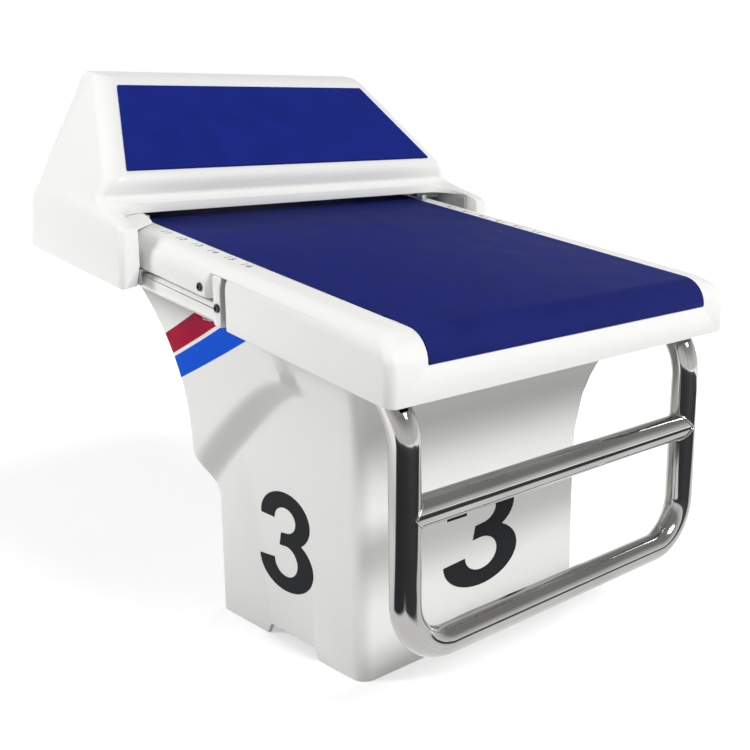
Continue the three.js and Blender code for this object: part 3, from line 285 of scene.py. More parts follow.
def points_of(mesh):
    flat = np.empty(len(mesh.vertices) * 3)
    mesh.vertices.foreach_get("co", flat)
    return flat.reshape(-1, 3)


def moved(piece, place):
    """Puts each of a piece's points where the function of all its points says."""
    piece.data.vertices.foreach_set("co", np.ascontiguousarray(place(points_of(piece.data))).ravel())
    piece.data.update()
    return piece


def lifted(piece):
    """Moves a level piece onto the deck's plane."""
    return moved(piece, on_deck)


def lifted_block(name, low, high):
    return lifted(block(name, low, high))


def both_sides(piece):
    """The piece and its mirror image in the plane x = 0."""
    mesh = piece.data.copy()
    mesh.transform(Matrix.Diagonal((-1, 1, 1, 1)))
    mesh.flip_normals()
    twin = bpy.data.objects.new(piece.name + "_twin", mesh)
    bpy.context.collection.objects.link(twin)
    return [piece, twin]


def settled(piece):
    """Applies a piece's modifiers."""
    piece.update_tag()
    bpy.context.view_layer.update()
    graph = bpy.context.evaluated_depsgraph_get()
    mesh = bpy.data.meshes.new_from_object(piece.evaluated_get(graph))
    old = piece.data
    piece.modifiers.clear()
    piece.data = mesh
    bpy.data.meshes.remove(old)
    mesh.name = piece.name
    return piece


def carved(piece, *cutters):
    """Cuts each cutter out of the piece, then deletes the cutters."""
    for cutter in cutters:
        step = piece.modifiers.new(cutter.name, "BOOLEAN")
        step.operation, step.solver, step.object = "DIFFERENCE", "EXACT", cutter
    settled(piece)
    for cutter in cutters:
        bpy.data.objects.remove(cutter)
    return piece


def softened(piece, width, angle=35, shade=40, weld=MERGE_DISTANCE):
    """Rounds the edges that turn by more than the angle, and shades the rest smooth."""
    shell = bmesh.new()
    shell.from_mesh(piece.data)
    bmesh.ops.remove_doubles(shell, verts=shell.verts, dist=weld)
    bmesh.ops.dissolve_limit(shell, angle_limit=FLAT_ANGLE, verts=shell.verts, edges=shell.edges)
    shell.to_mesh(piece.data)
    shell.free()
    if width:
        step = piece.modifiers.new("edge rounding", "BEVEL")
        step.limit_method, step.angle_limit = "ANGLE", math.radians(angle)
        step.width, step.segments, step.use_clamp_overlap = width, 2, False
        step.miter_outer = "MITER_ARC"
        settled(piece)
    piece.data.shade_smooth()
    piece.data.set_sharp_from_angle(angle=math.radians(shade))
    return piece


def eased(table, steps):
    """A smooth curve through (share, value) pairs: cubic between pairs, with slopes from their neighbours."""
    x, y = np.array(table, dtype=float).T
    slope = np.gradient(y, x)
    at = np.linspace(0, 1, steps + 1)[1:]
    k = np.clip(np.searchsorted(x, at) - 1, 0, len(x) - 2)
    width = x[k + 1] - x[k]
    t = (at - x[k]) / width
    value = ((2 * t**3 - 3 * t**2 + 1) * y[k] + (t**3 - 2 * t**2 + t) * width * slope[k]
             + (3 * t**2 - 2 * t**3) * y[k + 1] + (t**3 - t**2) * width * slope[k + 1])
    return at, value


def edge_pull(drop, radius):
    """How far a rounded edge has drawn in at a drop below its top: radius less the circle's half chord."""
    left = np.clip(radius - np.asarray(drop), 0, radius)
    return radius - np.sqrt(radius**2 - left**2)


def rounded_rings(half, front, rear, height, front_radius, rear_radius, steps=10):
    """Level rectangles with rounded corners, one for each entry of the arrays: corner centre plus radius
    times (cos, sin) over a quarter turn, corner by corner."""
    half, front, rear, height, near, far = (np.asarray(v, dtype=float)[:, None] for v in np.broadcast_arrays(
        half, front, rear, height, front_radius, rear_radius))
    turn = np.linspace(0, np.pi / 2, steps + 1)[None]
    corners = [(half - near, front + near, near, -np.pi / 2), (half - far, rear - far, far, 0),
               (far - half, rear - far, far, np.pi / 2), (near - half, front + near, near, np.pi)]
    x = np.concatenate([cx + r * np.cos(turn + start) for cx, _, r, start in corners], axis=1)
    y = np.concatenate([cy + r * np.sin(turn + start) for _, cy, r, start in corners], axis=1)
    return np.stack([x, y, np.broadcast_to(height, x.shape)], axis=-1)


def swept(name, path, tangents, radius, sides=48, flat=(0.0, 1.0, 0.0)):
    """A round tube: each path point plus radius times (cos N + sin B), where N is the tangent crossed with
    the flat way, along which the path doesn't bend sharply. The attribute "straight" holds each point as it
    would lie if the tube were pulled straight: radius times (cos, sin), and the length run so far."""
    across = np.cross(tangents, flat)
    across /= np.linalg.norm(across, axis=1, keepdims=True)
    beside = np.cross(tangents, across)
    turn = np.linspace(0, 2 * np.pi, sides, endpoint=False)[None, :, None]
    rings = path[:, None] + radius * (np.cos(turn) * across[:, None] + np.sin(turn) * beside[:, None])
    length = np.concatenate([[0], np.cumsum(np.linalg.norm(np.diff(path, axis=0), axis=1))])
    straight = np.broadcast_arrays(radius * np.cos(turn[..., 0]), radius * np.sin(turn[..., 0]),
                                   length[:, None])
    tube = loft(name, rings)
    store = tube.data.attributes.new("straight", "FLOAT_VECTOR", "POINT")
    store.data.foreach_set("vector", np.stack(straight, axis=-1).ravel())
    return outward(tube)


def turned(name, profile, centre):
    """A profile of (radius, along) pairs turned about an axis along X through the centre."""
    profile = np.asarray(profile, dtype=float)
    turn = np.linspace(0, 2 * np.pi, 32, endpoint=False)[None]
    radius, along = profile[:, :1], profile[:, 1:]
    rings = np.stack([along + 0 * turn, radius * np.cos(turn), radius * np.sin(turn)], axis=-1)
    rings += np.asarray(centre)
    return outward(loft(name, rings))


def rounded_outline(corners, reach):
    """A polygon whose corners are rounded: between the points a reach away from a corner, weights (1 - t)^2,
    2 t (1 - t) and t^2 of those points and the corner between them."""
    corner = np.asarray(corners, dtype=float)
    before, after = np.roll(corner, 1, axis=0) - corner, np.roll(corner, -1, axis=0) - corner
    start = corner + before / np.linalg.norm(before, axis=1, keepdims=True) * reach
    end = corner + after / np.linalg.norm(after, axis=1, keepdims=True) * reach
    t = np.linspace(0, 1, 7)[None, :, None]
    arcs = (1 - t)**2 * start[:, None] + 2 * t * (1 - t) * corner[:, None] + t**2 * end[:, None]
    return arcs.reshape(-1, 2)


def joined(name, *pieces):
    """One piece from several."""
    whole = bmesh.new()
    for piece in pieces:
        whole.from_mesh(piece.data)
        bpy.data.objects.remove(piece)
    made = mesh_piece(name, np.zeros((0, 3)), [])
    whole.to_mesh(made.data)
    whole.free()
    return made


def refined(name, node, width):
    """A copy of a CAD node, merged and with rounded edges, that stands for it."""
    piece = bpy.data.objects.new(name, frame["nodes"][node].data.copy())
    bpy.context.collection.objects.link(piece)
    piece.data.materials.clear()
    softened(piece, width, angle=30, shade=30, weld=NODE_MERGE_DISTANCE)
    return finished(piece, node)


def finished(piece, *nodes):
    """Rides on the body of the nodes that the piece stands for, and takes their place."""
    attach(piece, body_of(frame["nodes"][nodes[0]])[0])
    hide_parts(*nodes)
    return piece


# Finishes

def group(name, output, inputs):
    """A node group with the inputs' names and values and one output: its tree, its given values, its sink."""
    tree = bpy.data.node_groups.new(name, "ShaderNodeTree")
    for label, value in inputs.items():
        tree.interface.new_socket(label, in_out="INPUT", socket_type="NodeSocketFloat").default_value = value
    tree.interface.new_socket(output, in_out="OUTPUT", socket_type="NodeSocketFloat")
    return tree, tree.nodes.new("NodeGroupInput").outputs, tree.nodes.new("NodeGroupOutput").inputs[output]


def node(tree, kind, links=(), **values):
    made = tree.nodes.new(kind)
    for key, value in values.items():
        setattr(made, key, value)
    for socket, source in dict(links).items():
        if isinstance(source, bpy.types.NodeSocket):
            tree.links.new(source, made.inputs[socket])
        else:
            made.inputs[socket].default_value = source
    return made


def ramp(tree, source, low, high):
    """0 below low, 1 above high, smooth between."""
    return node(tree, "ShaderNodeMapRange", {"Value": source, "From Min": low, "From Max": high},
                interpolation_type="SMOOTHSTEP").outputs["Result"]


def scaled(tree, value, low, high):
    """A value from 0 to 1 carried to the span from low to high."""
    return node(tree, "ShaderNodeMapRange", {"Value": value, "To Min": low, "To Max": high}).outputs["Result"]


def combined(tree, operation, *values):
    """One sum, product, difference or the like of all the values, from the first to the last."""
    return reduce(lambda first, second: node(tree, "ShaderNodeMath", {0: first, 1: second},
                                             operation=operation).outputs[0], values)


def size_of(tree, value):
    return node(tree, "ShaderNodeMath", {0: value}, operation="ABSOLUTE").outputs[0]


def mix(tree, factor, first, second):
    made = node(tree, "ShaderNodeMix", {0: factor, 6: first, 7: second}, data_type="RGBA")
    return made.outputs[2]


def noise(tree, place, scale, detail, roughness=0.5):
    return node(tree, "ShaderNodeTexNoise", {"Vector": place, "Scale": scale, "Detail": detail,
                                             "Roughness": roughness}).outputs["Fac"]


def cloudiness():
    """Soft noise, for patches of wear and uneven colour."""
    tree, given, mask = group("cloudiness", "Mask", {"Scale": 8.0, "Low": 0.4, "High": 0.65})
    place = node(tree, "ShaderNodeTexCoord").outputs["Object"]
    cloud = noise(tree, place, given["Scale"], 2.0, 0.45)
    tree.links.new(ramp(tree, cloud, given["Low"], given["High"]), mask)
    return tree


def grain():
    """Fine pebbled height, as sand in paint or orange peel in a moulded skin."""
    tree, given, height = group("grain", "Height", {"Scale": 900.0, "Wave": 60.0, "Wave share": 0.3})
    place = node(tree, "ShaderNodeTexCoord").outputs["Object"]
    fine, wave = noise(tree, place, given["Scale"], 2.0), noise(tree, place, given["Wave"], 1.0)
    both = node(tree, "ShaderNodeMix", {0: given["Wave share"], 2: fine, 3: wave}, data_type="FLOAT")
    tree.links.new(both.outputs[0], height)
    return tree


def polish_lines():
    """Fine lines left by polishing along a tube, read from its straightened places, and sparse across it."""
    tree, given, mask = group("polish_lines", "Mask", {"Along": 5.0, "Across": 1500.0})
    place = node(tree, "ShaderNodeAttribute", attribute_name="straight").outputs["Vector"]
    size = node(tree, "ShaderNodeCombineXYZ", {"X": given["Across"], "Y": given["Across"],
                                               "Z": given["Along"]})
    stretched = node(tree, "ShaderNodeVectorMath", {0: place, 1: size.outputs[0]}, operation="MULTIPLY")
    tree.links.new(ramp(tree, noise(tree, stretched.outputs[0], 1.0, 3.0), 0.35, 0.7), mask)
    return tree


def placed(tree, shared, **values):
    made = node(tree, "ShaderNodeGroup", node_tree=shared)
    for label, value in values.items():
        made.inputs[label.replace("_", " ")].default_value = value
    return made.outputs[0]


def rgba(colour, shade=1.0):
    return tuple(channel * shade for channel in colour[:3]) + (1.0,)


def finish(name, colour, roughness, metallic=0.0, coat=0.0, worn=0.92, rough_span=0.08, cloud=9.0,
           bump=0.15, depth=0.0002, grain_scale=900.0, wave=60.0, wave_share=0.3, specular=0.5, marks=None,
           lines=0.0):
    """A finish: its colour drifts to a worn shade over patches, its roughness drifts with them, and a fine
    grain lifts its surface. Marks are painted over the colour, and lines run along a polished tube."""
    material = bpy.data.materials.new(name)
    material.use_nodes = True
    tree = material.node_tree
    shader = tree.nodes["Principled BSDF"]
    patches = placed(tree, SHARED["cloudiness"], Scale=cloud, Low=0.2, High=0.8)
    tone = mix(tree, patches, rgba(colour), rgba(colour, worn))
    rough = scaled(tree, patches, roughness, roughness + rough_span)
    height = placed(tree, SHARED["grain"], Scale=grain_scale, Wave=wave, Wave_share=wave_share)
    if lines:
        drawn = placed(tree, SHARED["polish_lines"])
        tone = mix(tree, combined(tree, "MULTIPLY", drawn, lines), tone, rgba(colour, POLISH_SHADE))
        rough = combined(tree, "ADD", rough, combined(tree, "MULTIPLY", drawn, POLISH_ROUGHNESS))
        height = combined(tree, "ADD", height, drawn)
    if marks:
        tone = marks(tree, tone)
    tree.links.new(tone, shader.inputs["Base Color"])
    tree.links.new(rough, shader.inputs["Roughness"])
    shader.inputs["Metallic"].default_value = metallic
    shader.inputs["Coat Weight"].default_value = coat
    shader.inputs["Coat Roughness"].default_value = COAT_ROUGHNESS
    shader.inputs["Specular IOR Level"].default_value = specular
    lift = node(tree, "ShaderNodeBump", {"Strength": bump, "Distance": depth, "Height": height})
    tree.links.new(lift.outputs["Normal"], shader.inputs["Normal"])
    return material


def between(tree, value, low, high, edge):
    """1 where the value lies between low and high, 0 elsewhere, with edges of the given softness."""
    return combined(tree, "SUBTRACT", ramp(tree, value, low - edge, low + edge),
                    ramp(tree, value, high - edge, high + edge))


def flank_stripes(tree, tone):
    """Two slanting stripes on the parts of the flanks that stand out past the shoulder."""
    colours = bpy.context.scene.block_colours
    source = node(tree, "ShaderNodeTexCoord")
    place = node(tree, "ShaderNodeSeparateXYZ", {0: source.outputs["Object"]})
    facing = node(tree, "ShaderNodeSeparateXYZ", {0: source.outputs["Normal"]})
    side = combined(tree, "MULTIPLY", ramp(tree, size_of(tree, place.outputs["X"]), *STRIPE_STEP),
                    ramp(tree, size_of(tree, facing.outputs["X"]), 0.4, 0.5))
    level = combined(tree, "ADD", place.outputs["Z"],
                     combined(tree, "MULTIPLY", place.outputs["Y"], STRIPE_SLANT))
    for (low, high), colour in ((STRIPE_UPPER, colours.stripe_upper), (STRIPE_LOWER, colours.stripe_lower)):
        inside = combined(tree, "MULTIPLY", side, between(tree, level, low, high, STRIPE_EDGE))
        tone = mix(tree, inside, tone, rgba(colour))
    return tone


SHARED = {}
FINISHES = {}


def colour_setting(name, description, value):
    return FloatVectorProperty(name=name, description=description, subtype="COLOR", size=3, min=0, max=1,
                               default=value)


def length_setting(name, description, value, low, high):
    return FloatProperty(name=name, description=description, unit="LENGTH", default=value, min=low, max=high)


class BlockColours(PropertyGroup):
    shell: colour_setting("Shell", "Colour of the moulded shells", (0.81, 0.81, 0.79))
    mat: colour_setting("Mat", "Colour of the deck's non-slip mat", (0.011, 0.016, 0.120))
    pad: colour_setting("Foot pad", "Colour of the kick wedge's foot pad", (0.008, 0.017, 0.172))
    ink: colour_setting("Ink", "Colour of the numbers", (0.010, 0.011, 0.012))
    stripe_upper: colour_setting("Upper stripe", "Colour of the flank's upper stripe", (0.34, 0.0, 0.033))
    stripe_lower: colour_setting("Lower stripe", "Colour of the flank's lower stripe", (0.0, 0.078, 0.62))


class BlockSizes(PropertyGroup):
    front_digit: length_setting("Front number", "Height of the number on the front", 0.143, 0.05, 0.16)
    flank_digit: length_setting("Flank number", "Height of the number on the flanks", 0.135, 0.05, 0.16)
    scale_text: length_setting("Scale numbers", "Height of the numbers on the rims", 0.0105, 0.004, 0.016)
    shell_edge: length_setting("Shell edges", "Rounding of the shells' cut edges", 0.0014, 0, 0.003)


class BLOCK_OT_finishes(Operator):
    """Makes the shared effects and the materials, and dresses the nodes that keep their CAD shape"""
    bl_idname = "block.finishes"
    bl_label = "Finishes"

    def execute(self, context):
        colours = context.scene.block_colours
        SHARED.update(cloudiness=cloudiness(), grain=grain(), polish_lines=polish_lines())
        gelcoat = dict(roughness=0.32, worn=0.98, rough_span=0.06, cloud=4.0, bump=0.08, grain_scale=420.0)
        rubber = dict(roughness=0.62, worn=1.22, rough_span=0.1, cloud=22.0, bump=0.8, depth=0.0005,
                      grain_scale=1100.0, wave=240.0, wave_share=0.35, specular=0.04)
        steel = (0.50, 0.495, 0.48)
        FINISHES.update(
            shell=finish("white_gelcoat", colours.shell, specular=0.35, **gelcoat),
            column=finish("white_gelcoat_striped", colours.shell, specular=0.02, marks=flank_stripes,
                          **gelcoat),
            paint=finish("white_paint", colours.shell, 0.28, coat=0.2, worn=0.95, bump=0.12,
                         grain_scale=500.0),
            mat=finish("blue_non_slip", colours.mat, **rubber),
            pad=finish("blue_foot_pad", colours.pad, **rubber),
            ink=finish("number_ink", colours.ink, 0.5, worn=1.3, cloud=30.0, bump=0.06, specular=0.1),
            scale=finish("grey_scale_ink", (0.10, 0.10, 0.11), 0.5, worn=1.5, cloud=160.0, bump=0.06),
            tube=finish("polished_tube", steel, 0.05, metallic=1.0, worn=0.86, rough_span=0.03,
                        cloud=10.0, bump=0.10, depth=0.00003, grain_scale=500.0, lines=0.3),
            chrome=finish("polished_steel", steel, 0.12, metallic=1.0, worn=0.86, rough_span=0.06,
                          cloud=40.0, bump=0.05, depth=0.0001, grain_scale=700.0),
            brushed=finish("brushed_steel", (0.42, 0.43, 0.44), 0.34, metallic=1.0, worn=0.85,
                           rough_span=0.12, cloud=24.0),
            screw=finish("dark_screw_steel", (0.07, 0.07, 0.075), 0.36, metallic=0.9, worn=0.7,
                         rough_span=0.15, cloud=90.0, bump=0.2),
            zinc=finish("painted_frame_steel", (0.28, 0.30, 0.32), 0.5, metallic=0.5, worn=0.8,
                        rough_span=0.2, cloud=18.0, bump=0.3),
            ply=finish("birch_ply", (0.42, 0.28, 0.14), 0.65, worn=0.78, cloud=40.0, bump=0.4,
                       grain_scale=400.0),
            nylon=finish("grey_nylon", (0.32, 0.33, 0.34), 0.45, worn=0.88, cloud=40.0, bump=0.25),
            aluminium=finish("aluminium_strip", (0.56, 0.57, 0.58), 0.32, metallic=0.9, worn=0.88,
                             rough_span=0.1, cloud=30.0),
        )
        for name, piece in frame["nodes"].items():
            dressed(piece, next((look for words, look in NODE_LOOKS if name.startswith(words)), "shell"))
        return {"FINISHED"}


NODE_LOOKS = [
    (("deck_mat",), "mat"), (("kick_pad",), "pad"), (("handgrip", "release_handle"), "chrome"),
    (("anchor", "head_bolt", "seat_bolt", "latch_rod", "latch_pawl", "latch_spring"), "brushed"),
    (("flange_bolt", "rail_bolt"), "screw"), (("core_panel",), "ply"),
    (("frame_rail", "cross_member", "support_post", "head_plate", "grip_socket"), "zinc"),
    (("glide", "latch_bearing"), "nylon"), (("index_strip", "slide_tongue", "platform_pan"), "aluminium"),
    (("guide_rail",), "paint"),
]


def dressed(piece, look):
    piece.data.materials.clear()
    piece.data.materials.append(FINISHES[look])
    return piece


# Column

def underside(y):
    return deck_top(y) - SEAT_DROP


def rise(value, start, length):
    return np.clip((value - start) / length, 0, 1)


def smooth_rise(value, start, length):
    t = rise(value, start, length)
    return t * t * (3 - 2 * t)


def shoulder_start(y):
    along = rise(y, SHOULDER_FRONT, COLUMN_END - SHOULDER_FRONT)
    return SHOULDER_HIGH + (SHOULDER_LOW - SHOULDER_HIGH) * along**SHOULDER_BOW


def shoulder_blend(y):
    along = rise(y, SHOULDER_FRONT, COLUMN_END - SHOULDER_FRONT)
    return SHOULDER_HIGH_BLEND + (SHOULDER_LOW_BLEND - SHOULDER_HIGH_BLEND) * along


def flare_share(y, z):
    return rise(z, underside(y) - FLARE_DROP, FLARE_DROP)**FLARE_POWER


def column_half(y, z):
    """Half width: the plain width, plus the shoulder's step, plus a flare that grows as a power of height."""
    shoulder = (SHOULDER_REACH * smooth_rise(z, shoulder_start(y), shoulder_blend(y))
                * smooth_rise(y, SHOULDER_FRONT - SHOULDER_FRONT_BLEND, SHOULDER_FRONT_BLEND))
    return COLUMN_HALF + shoulder + (FLARE_REACH - shoulder) * flare_share(y, z)


def column_front(y, z):
    return -COLUMN_END - FLARE_REACH * flare_share(y, z)


def column_rear(z):
    lean = BACK_LEAN * max((z - HEEL_END) / BACK_LEAN_RISE, 0)**BACK_LEAN_POWER
    return COLUMN_END + HEEL_REACH * smooth_rise(z, HEEL_START, HEEL_END - HEEL_START) + lean


def column_ring(zone, share, inset):
    """One ring of the column: at each y its height lies a share of the way between two of four limits (floor,
    shoulder's foot, shoulder's top, deck's underside), and its half width follows from that y and height."""
    def height(y):
        step = shoulder_start(y)
        limits = [0 * y, step, step + shoulder_blend(y), underside(y) - inset]
        return limits[zone] + share * (limits[zone + 1] - limits[zone])
    front, rear = -COLUMN_END, COLUMN_END
    for _ in range(8):
        front, rear = column_front(front, height(front)), column_rear(height(rear))
    front, rear = front + inset, rear - inset
    radius = COLUMN_CORNER_RADIUS - inset
    turn = np.linspace(np.pi / 2, 0, 11)
    flank = np.linspace(front + radius, rear - radius, 48)[1:-1]
    y = np.concatenate([front + radius * (1 - np.sin(turn)), flank, rear - radius * (1 - np.sin(turn[::-1]))])
    pull = np.concatenate([radius * (1 - np.cos(turn)), 0 * flank, radius * (1 - np.cos(turn[::-1]))])
    z = height(y)
    x = column_half(y, z) - inset - pull
    right = np.stack([x, y, z], axis=-1)
    return np.concatenate([right, right[::-1] * (-1, 1, 1)])


def column_rings(inset):
    levels = [(0, share) for share in (0, 0.45, 0.7, 0.85, 0.93, 0.97)]
    levels += [(1, share) for share in np.linspace(0, 1, 13)]
    levels += [(2, share) for share in np.linspace(0, 1, 25)[1:]]
    return [column_ring(zone, share, inset) for zone, share in levels]


class BLOCK_OT_column(Operator):
    """Moulds the column: flared shell, shoulder steps, drain notches and vent slots"""
    bl_idname = "block.column"
    bl_label = "Column"

    def execute(self, context):
        shell = outward(loft("column", column_rings(0)))
        inner = column_rings(COLUMN_WALL)
        room = outward(loft("room", [inner[0] - (0, 0, OVERRUN)] + inner))
        toe = prism("toe", [(TOE_FRONT - TOE_SLANT, -OVERRUN), (TOE_REAR + TOE_SLANT, -OVERRUN),
                            (TOE_REAR, TOE_HEIGHT), (TOE_FRONT, TOE_HEIGHT)], -THROUGH, THROUGH, 0)
        top = underside(VENT_Y) - VENT_DROP
        vent = block("vent", (-THROUGH, VENT_Y - VENT_LENGTH / 2, top - VENT_HEIGHT),
                     (THROUGH, VENT_Y + VENT_LENGTH / 2, top))
        low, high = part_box("head_plate")
        mouth = lifted_block("mouth", (low[0] - GAP, low[1] - GAP, -FLARE_DROP),
                             (high[0] + GAP, high[1] + GAP, 0))
        carved(shell, room, mouth, toe, vent)
        softened(shell, context.scene.block_sizes.shell_edge, shade=50)
        dressed(finished(shell, "pedestal_shell"), "column")
        return {"FINISHED"}


# Deck

def deck_body(name, inset, half, drops):
    """The deck's body between drops: a rounded rectangle drawn in by its edge's rounding at each drop."""
    drops = np.asarray(drops, dtype=float)
    radius = DECK_EDGE_RADIUS - inset
    pull = edge_pull(drops - inset, radius)
    corner = DECK_CORNER_RADIUS - inset + pull * CORNER_GROWTH
    rings = rounded_rings(half - pull, DECK_FRONT + inset + pull, DECK_REAR - inset - pull, -drops, corner,
                          corner)
    return outward(loft(name, on_deck(rings)))


def rounded_drops(radius, steps):
    """Drops down a quarter round, evenly turned."""
    return radius * (1 - np.cos(np.linspace(np.pi / 2, 0, steps + 1)))


def front_skin(name, outward_by, inward, rear, drop, half):
    """A skin over the deck's top and its rounded front edge, between two offsets of the same profile."""
    bend = DECK_FRONT + DECK_EDGE_RADIUS
    turn = np.linspace(np.pi / 2, np.pi, 17)
    def profile(offset):
        radius = DECK_EDGE_RADIUS + offset
        arc = np.stack([bend + radius * np.cos(turn), radius * np.sin(turn) - DECK_EDGE_RADIUS], axis=-1)
        return np.concatenate([[(rear, offset)], arc, [(DECK_FRONT - offset, -drop)]])
    outline = np.concatenate([profile(outward_by), profile(-inward)[::-1]])
    return lifted(prism(name, outline, -half, half, 0))


class BLOCK_OT_deck(Operator):
    """Moulds the deck's shell with its side panels and flanges, and lays the mat in its pocket"""
    bl_idname = "block.deck"
    bl_label = "Deck"

    def execute(self, context):
        shell = deck_body("deck_shell", 0, DECK_HALF, [DECK_DEPTH, *rounded_drops(DECK_EDGE_RADIUS, 14)])
        below = DECK_DEPTH + OVERRUN
        drops = [below, *(DECK_WALL + rounded_drops(DECK_EDGE_RADIUS - DECK_WALL, 8)[:-2])]
        front_room = deck_body("front_room", DECK_WALL, DECK_HALF - DECK_WALL, drops)
        carved(front_room, lifted_block("behind", (-FAR_PAST, SIDE_PANEL_END, -FAR_PAST), [FAR_PAST] * 3))
        rear_room = deck_body("rear_room", DECK_WALL, FLANGE_INNER, drops)
        frame_room = lifted_block("frame_room", (-FLANGE_INNER, SIDE_PANEL_END - OVERRUN, -below),
                                  (FLANGE_INNER, DECK_REAR - FRAME_REAR_SETBACK, -DECK_WALL - MAT_POCKET))
        outer = DECK_HALF + OVERRUN
        flange_foot = (FLANGE_INNER, SIDE_PANEL_END, -below)
        under = lifted_block("under", flange_foot, (outer, DECK_REAR + OVERRUN, -FLANGE_DEPTH))
        bay = lifted_block("bay", flange_foot, (outer, FLANGE_START, -FLANGE_LEDGE))
        chamfer = lifted(prism("chamfer", [(DECK_HALF - FLANGE_END_CHAMFER, FLANGE_START - OVERRUN),
                                           (DECK_HALF - FLANGE_END_CHAMFER, FLANGE_START),
                                           (outer, FLANGE_START + FLANGE_END_CHAMFER + OVERRUN),
                                           (outer, FLANGE_START - OVERRUN)], -below, -FLANGE_LEDGE, 2))
        turn = np.linspace(0, np.pi / 2, 9)
        round_end = np.stack([DECK_HALF - PANEL_END_RADIUS * (1 - np.sin(turn)),
                              SIDE_PANEL_END - PANEL_END_RADIUS * (1 - np.cos(turn))], axis=-1)
        corner = [(outer, SIDE_PANEL_END - PANEL_END_RADIUS), (outer, SIDE_PANEL_END + OVERRUN),
                  (DECK_HALF - PANEL_END_RADIUS, SIDE_PANEL_END + OVERRUN)]
        panel_end = lifted(prism("panel_end", np.concatenate([round_end, corner]), -below, -FLANGE_LEDGE, 2))
        pocket = front_skin("pocket", OVERRUN, MAT_POCKET, MAT_REAR + GAP, MAT_FRONT_DROP + GAP,
                            MAT_HALF + GAP)
        carved(shell, front_room, rear_room, frame_room, pocket,
               *both_sides(under), *both_sides(bay), *both_sides(chamfer), *both_sides(panel_end))
        softened(shell, context.scene.block_sizes.shell_edge, shade=50)
        dressed(finished(shell, "platform_shell"), "shell")
        mat = front_skin("mat", MAT_PROUD, MAT_POCKET - GAP, MAT_REAR, MAT_FRONT_DROP, MAT_HALF)
        dressed(finished(softened(mat, MAT_EDGE), "deck_mat"), "mat")
        return {"FINISHED"}


# Kick wedge

def kick_rows():
    """Rows of the wedge's skin, from the skirts' foot up: lift, front and half width."""
    up, back = eased(LEG_TOP_SHARES, 16)
    lifts = [np.array([-KICK_SKIRT_DROP, KICK_HIP_LIFT]),
             KICK_HIP_LIFT + up * (KICK_LIP_LIFT - KICK_HIP_LIFT)]
    fronts = [np.full(2, KICK_LEG_FRONT), KICK_LEG_FRONT + back * (KICK_LIP_FRONT - KICK_LEG_FRONT)]
    halves = [np.array([KICK_SKIRT_HALF, KICK_HIP_HALF]),
              KICK_HIP_HALF + up * (KICK_LIP_HALF - KICK_HIP_HALF)]
    up, dip = eased(COVE_SHARES, 16)
    lifts.append(KICK_LIP_LIFT + up * (KICK_NOSE_LIFT - KICK_LIP_LIFT))
    fronts.append(KICK_LIP_FRONT + up * (KICK_NOSE_FRONT - KICK_LIP_FRONT) + dip * KICK_COVE_DEPTH)
    halves.append(KICK_LIP_HALF + up * (KICK_NOSE_HALF - KICK_LIP_HALF))
    brow = KICK_FACE_LIFT + KICK_FACE_RISE
    rounding = KICK_CREST_LIFT - rounded_drops(KICK_CREST_RADIUS, 20)
    face = np.concatenate([[KICK_FACE_LIFT], rounding[rounding < brow - ROW_SPACE], [brow]])
    lifts.append(face)
    fronts.append(KICK_FACE_FRONT + (face - KICK_FACE_LIFT) * (KICK_FACE_RUN / KICK_FACE_RISE))
    halves.append(kick_half(face))
    up, back = eased(CREST_SHARES, 8)
    lifts.append(brow + up * (KICK_CREST_LIFT - brow))
    fronts.append(fronts[-1][-1] + back * (KICK_CREST_FRONT - fronts[-1][-1]))
    halves.append(KICK_BROW_HALF + up * (KICK_CREST_HALF - KICK_BROW_HALF))
    return np.concatenate(lifts), np.concatenate(fronts), np.concatenate(halves)


def kick_half(lift):
    return KICK_FACE_HALF + (KICK_BROW_HALF - KICK_FACE_HALF) * (lift - KICK_FACE_LIFT) / KICK_FACE_RISE


def kick_body(name, lift, front, half, inset=0.0, corner_share=1.0):
    """A skin over rows of the wedge: its rear is drawn in by the crest's rounding, and its corners widen from
    the legs and the skirts' foot upwards."""
    rear = KICK_REAR - edge_pull(KICK_CREST_LIFT - lift, KICK_CREST_RADIUS) - inset
    limit = (rear - front) * CORNER_LIMIT
    near = (KICK_LEG_CORNER + (KICK_FRONT_CORNER - KICK_LEG_CORNER)
            * rise(lift, KICK_HIP_LIFT, KICK_FACE_LIFT - KICK_HIP_LIFT))
    far = (KICK_SKIRT_CORNER + (KICK_REAR_CORNER - KICK_SKIRT_CORNER)
           * rise(lift, -KICK_SKIRT_DROP, KICK_SKIRT_DROP))
    rings = rounded_rings(half - inset, front, rear, lift, np.minimum(near * corner_share, limit),
                          np.minimum((far - inset) * corner_share, limit), steps=12)
    return outward(loft(name, on_deck(rings)))


def kick_room():
    front = KICK_LIP_FRONT + KICK_COVE_DEPTH + KICK_WALL
    face_inset = KICK_WALL * math.hypot(1, KICK_FACE_RUN / KICK_FACE_RISE)
    turn = KICK_FACE_LIFT + (front - face_inset - KICK_FACE_FRONT) * (KICK_FACE_RISE / KICK_FACE_RUN)
    roof = KICK_CREST_LIFT - KICK_ROOF
    lift = np.array([KICK_LIP_GAP - OVERRUN, KICK_NOSE_LIFT, turn, roof])
    back = KICK_FACE_FRONT + (roof - KICK_FACE_LIFT) * (KICK_FACE_RUN / KICK_FACE_RISE) + face_inset
    return kick_body("room", lift, np.array([front, front, front, back]),
                     np.array([LEG_INNER, LEG_INNER, kick_half(turn), kick_half(roof)]), KICK_WALL,
                     ROOM_CORNER_SHARE)


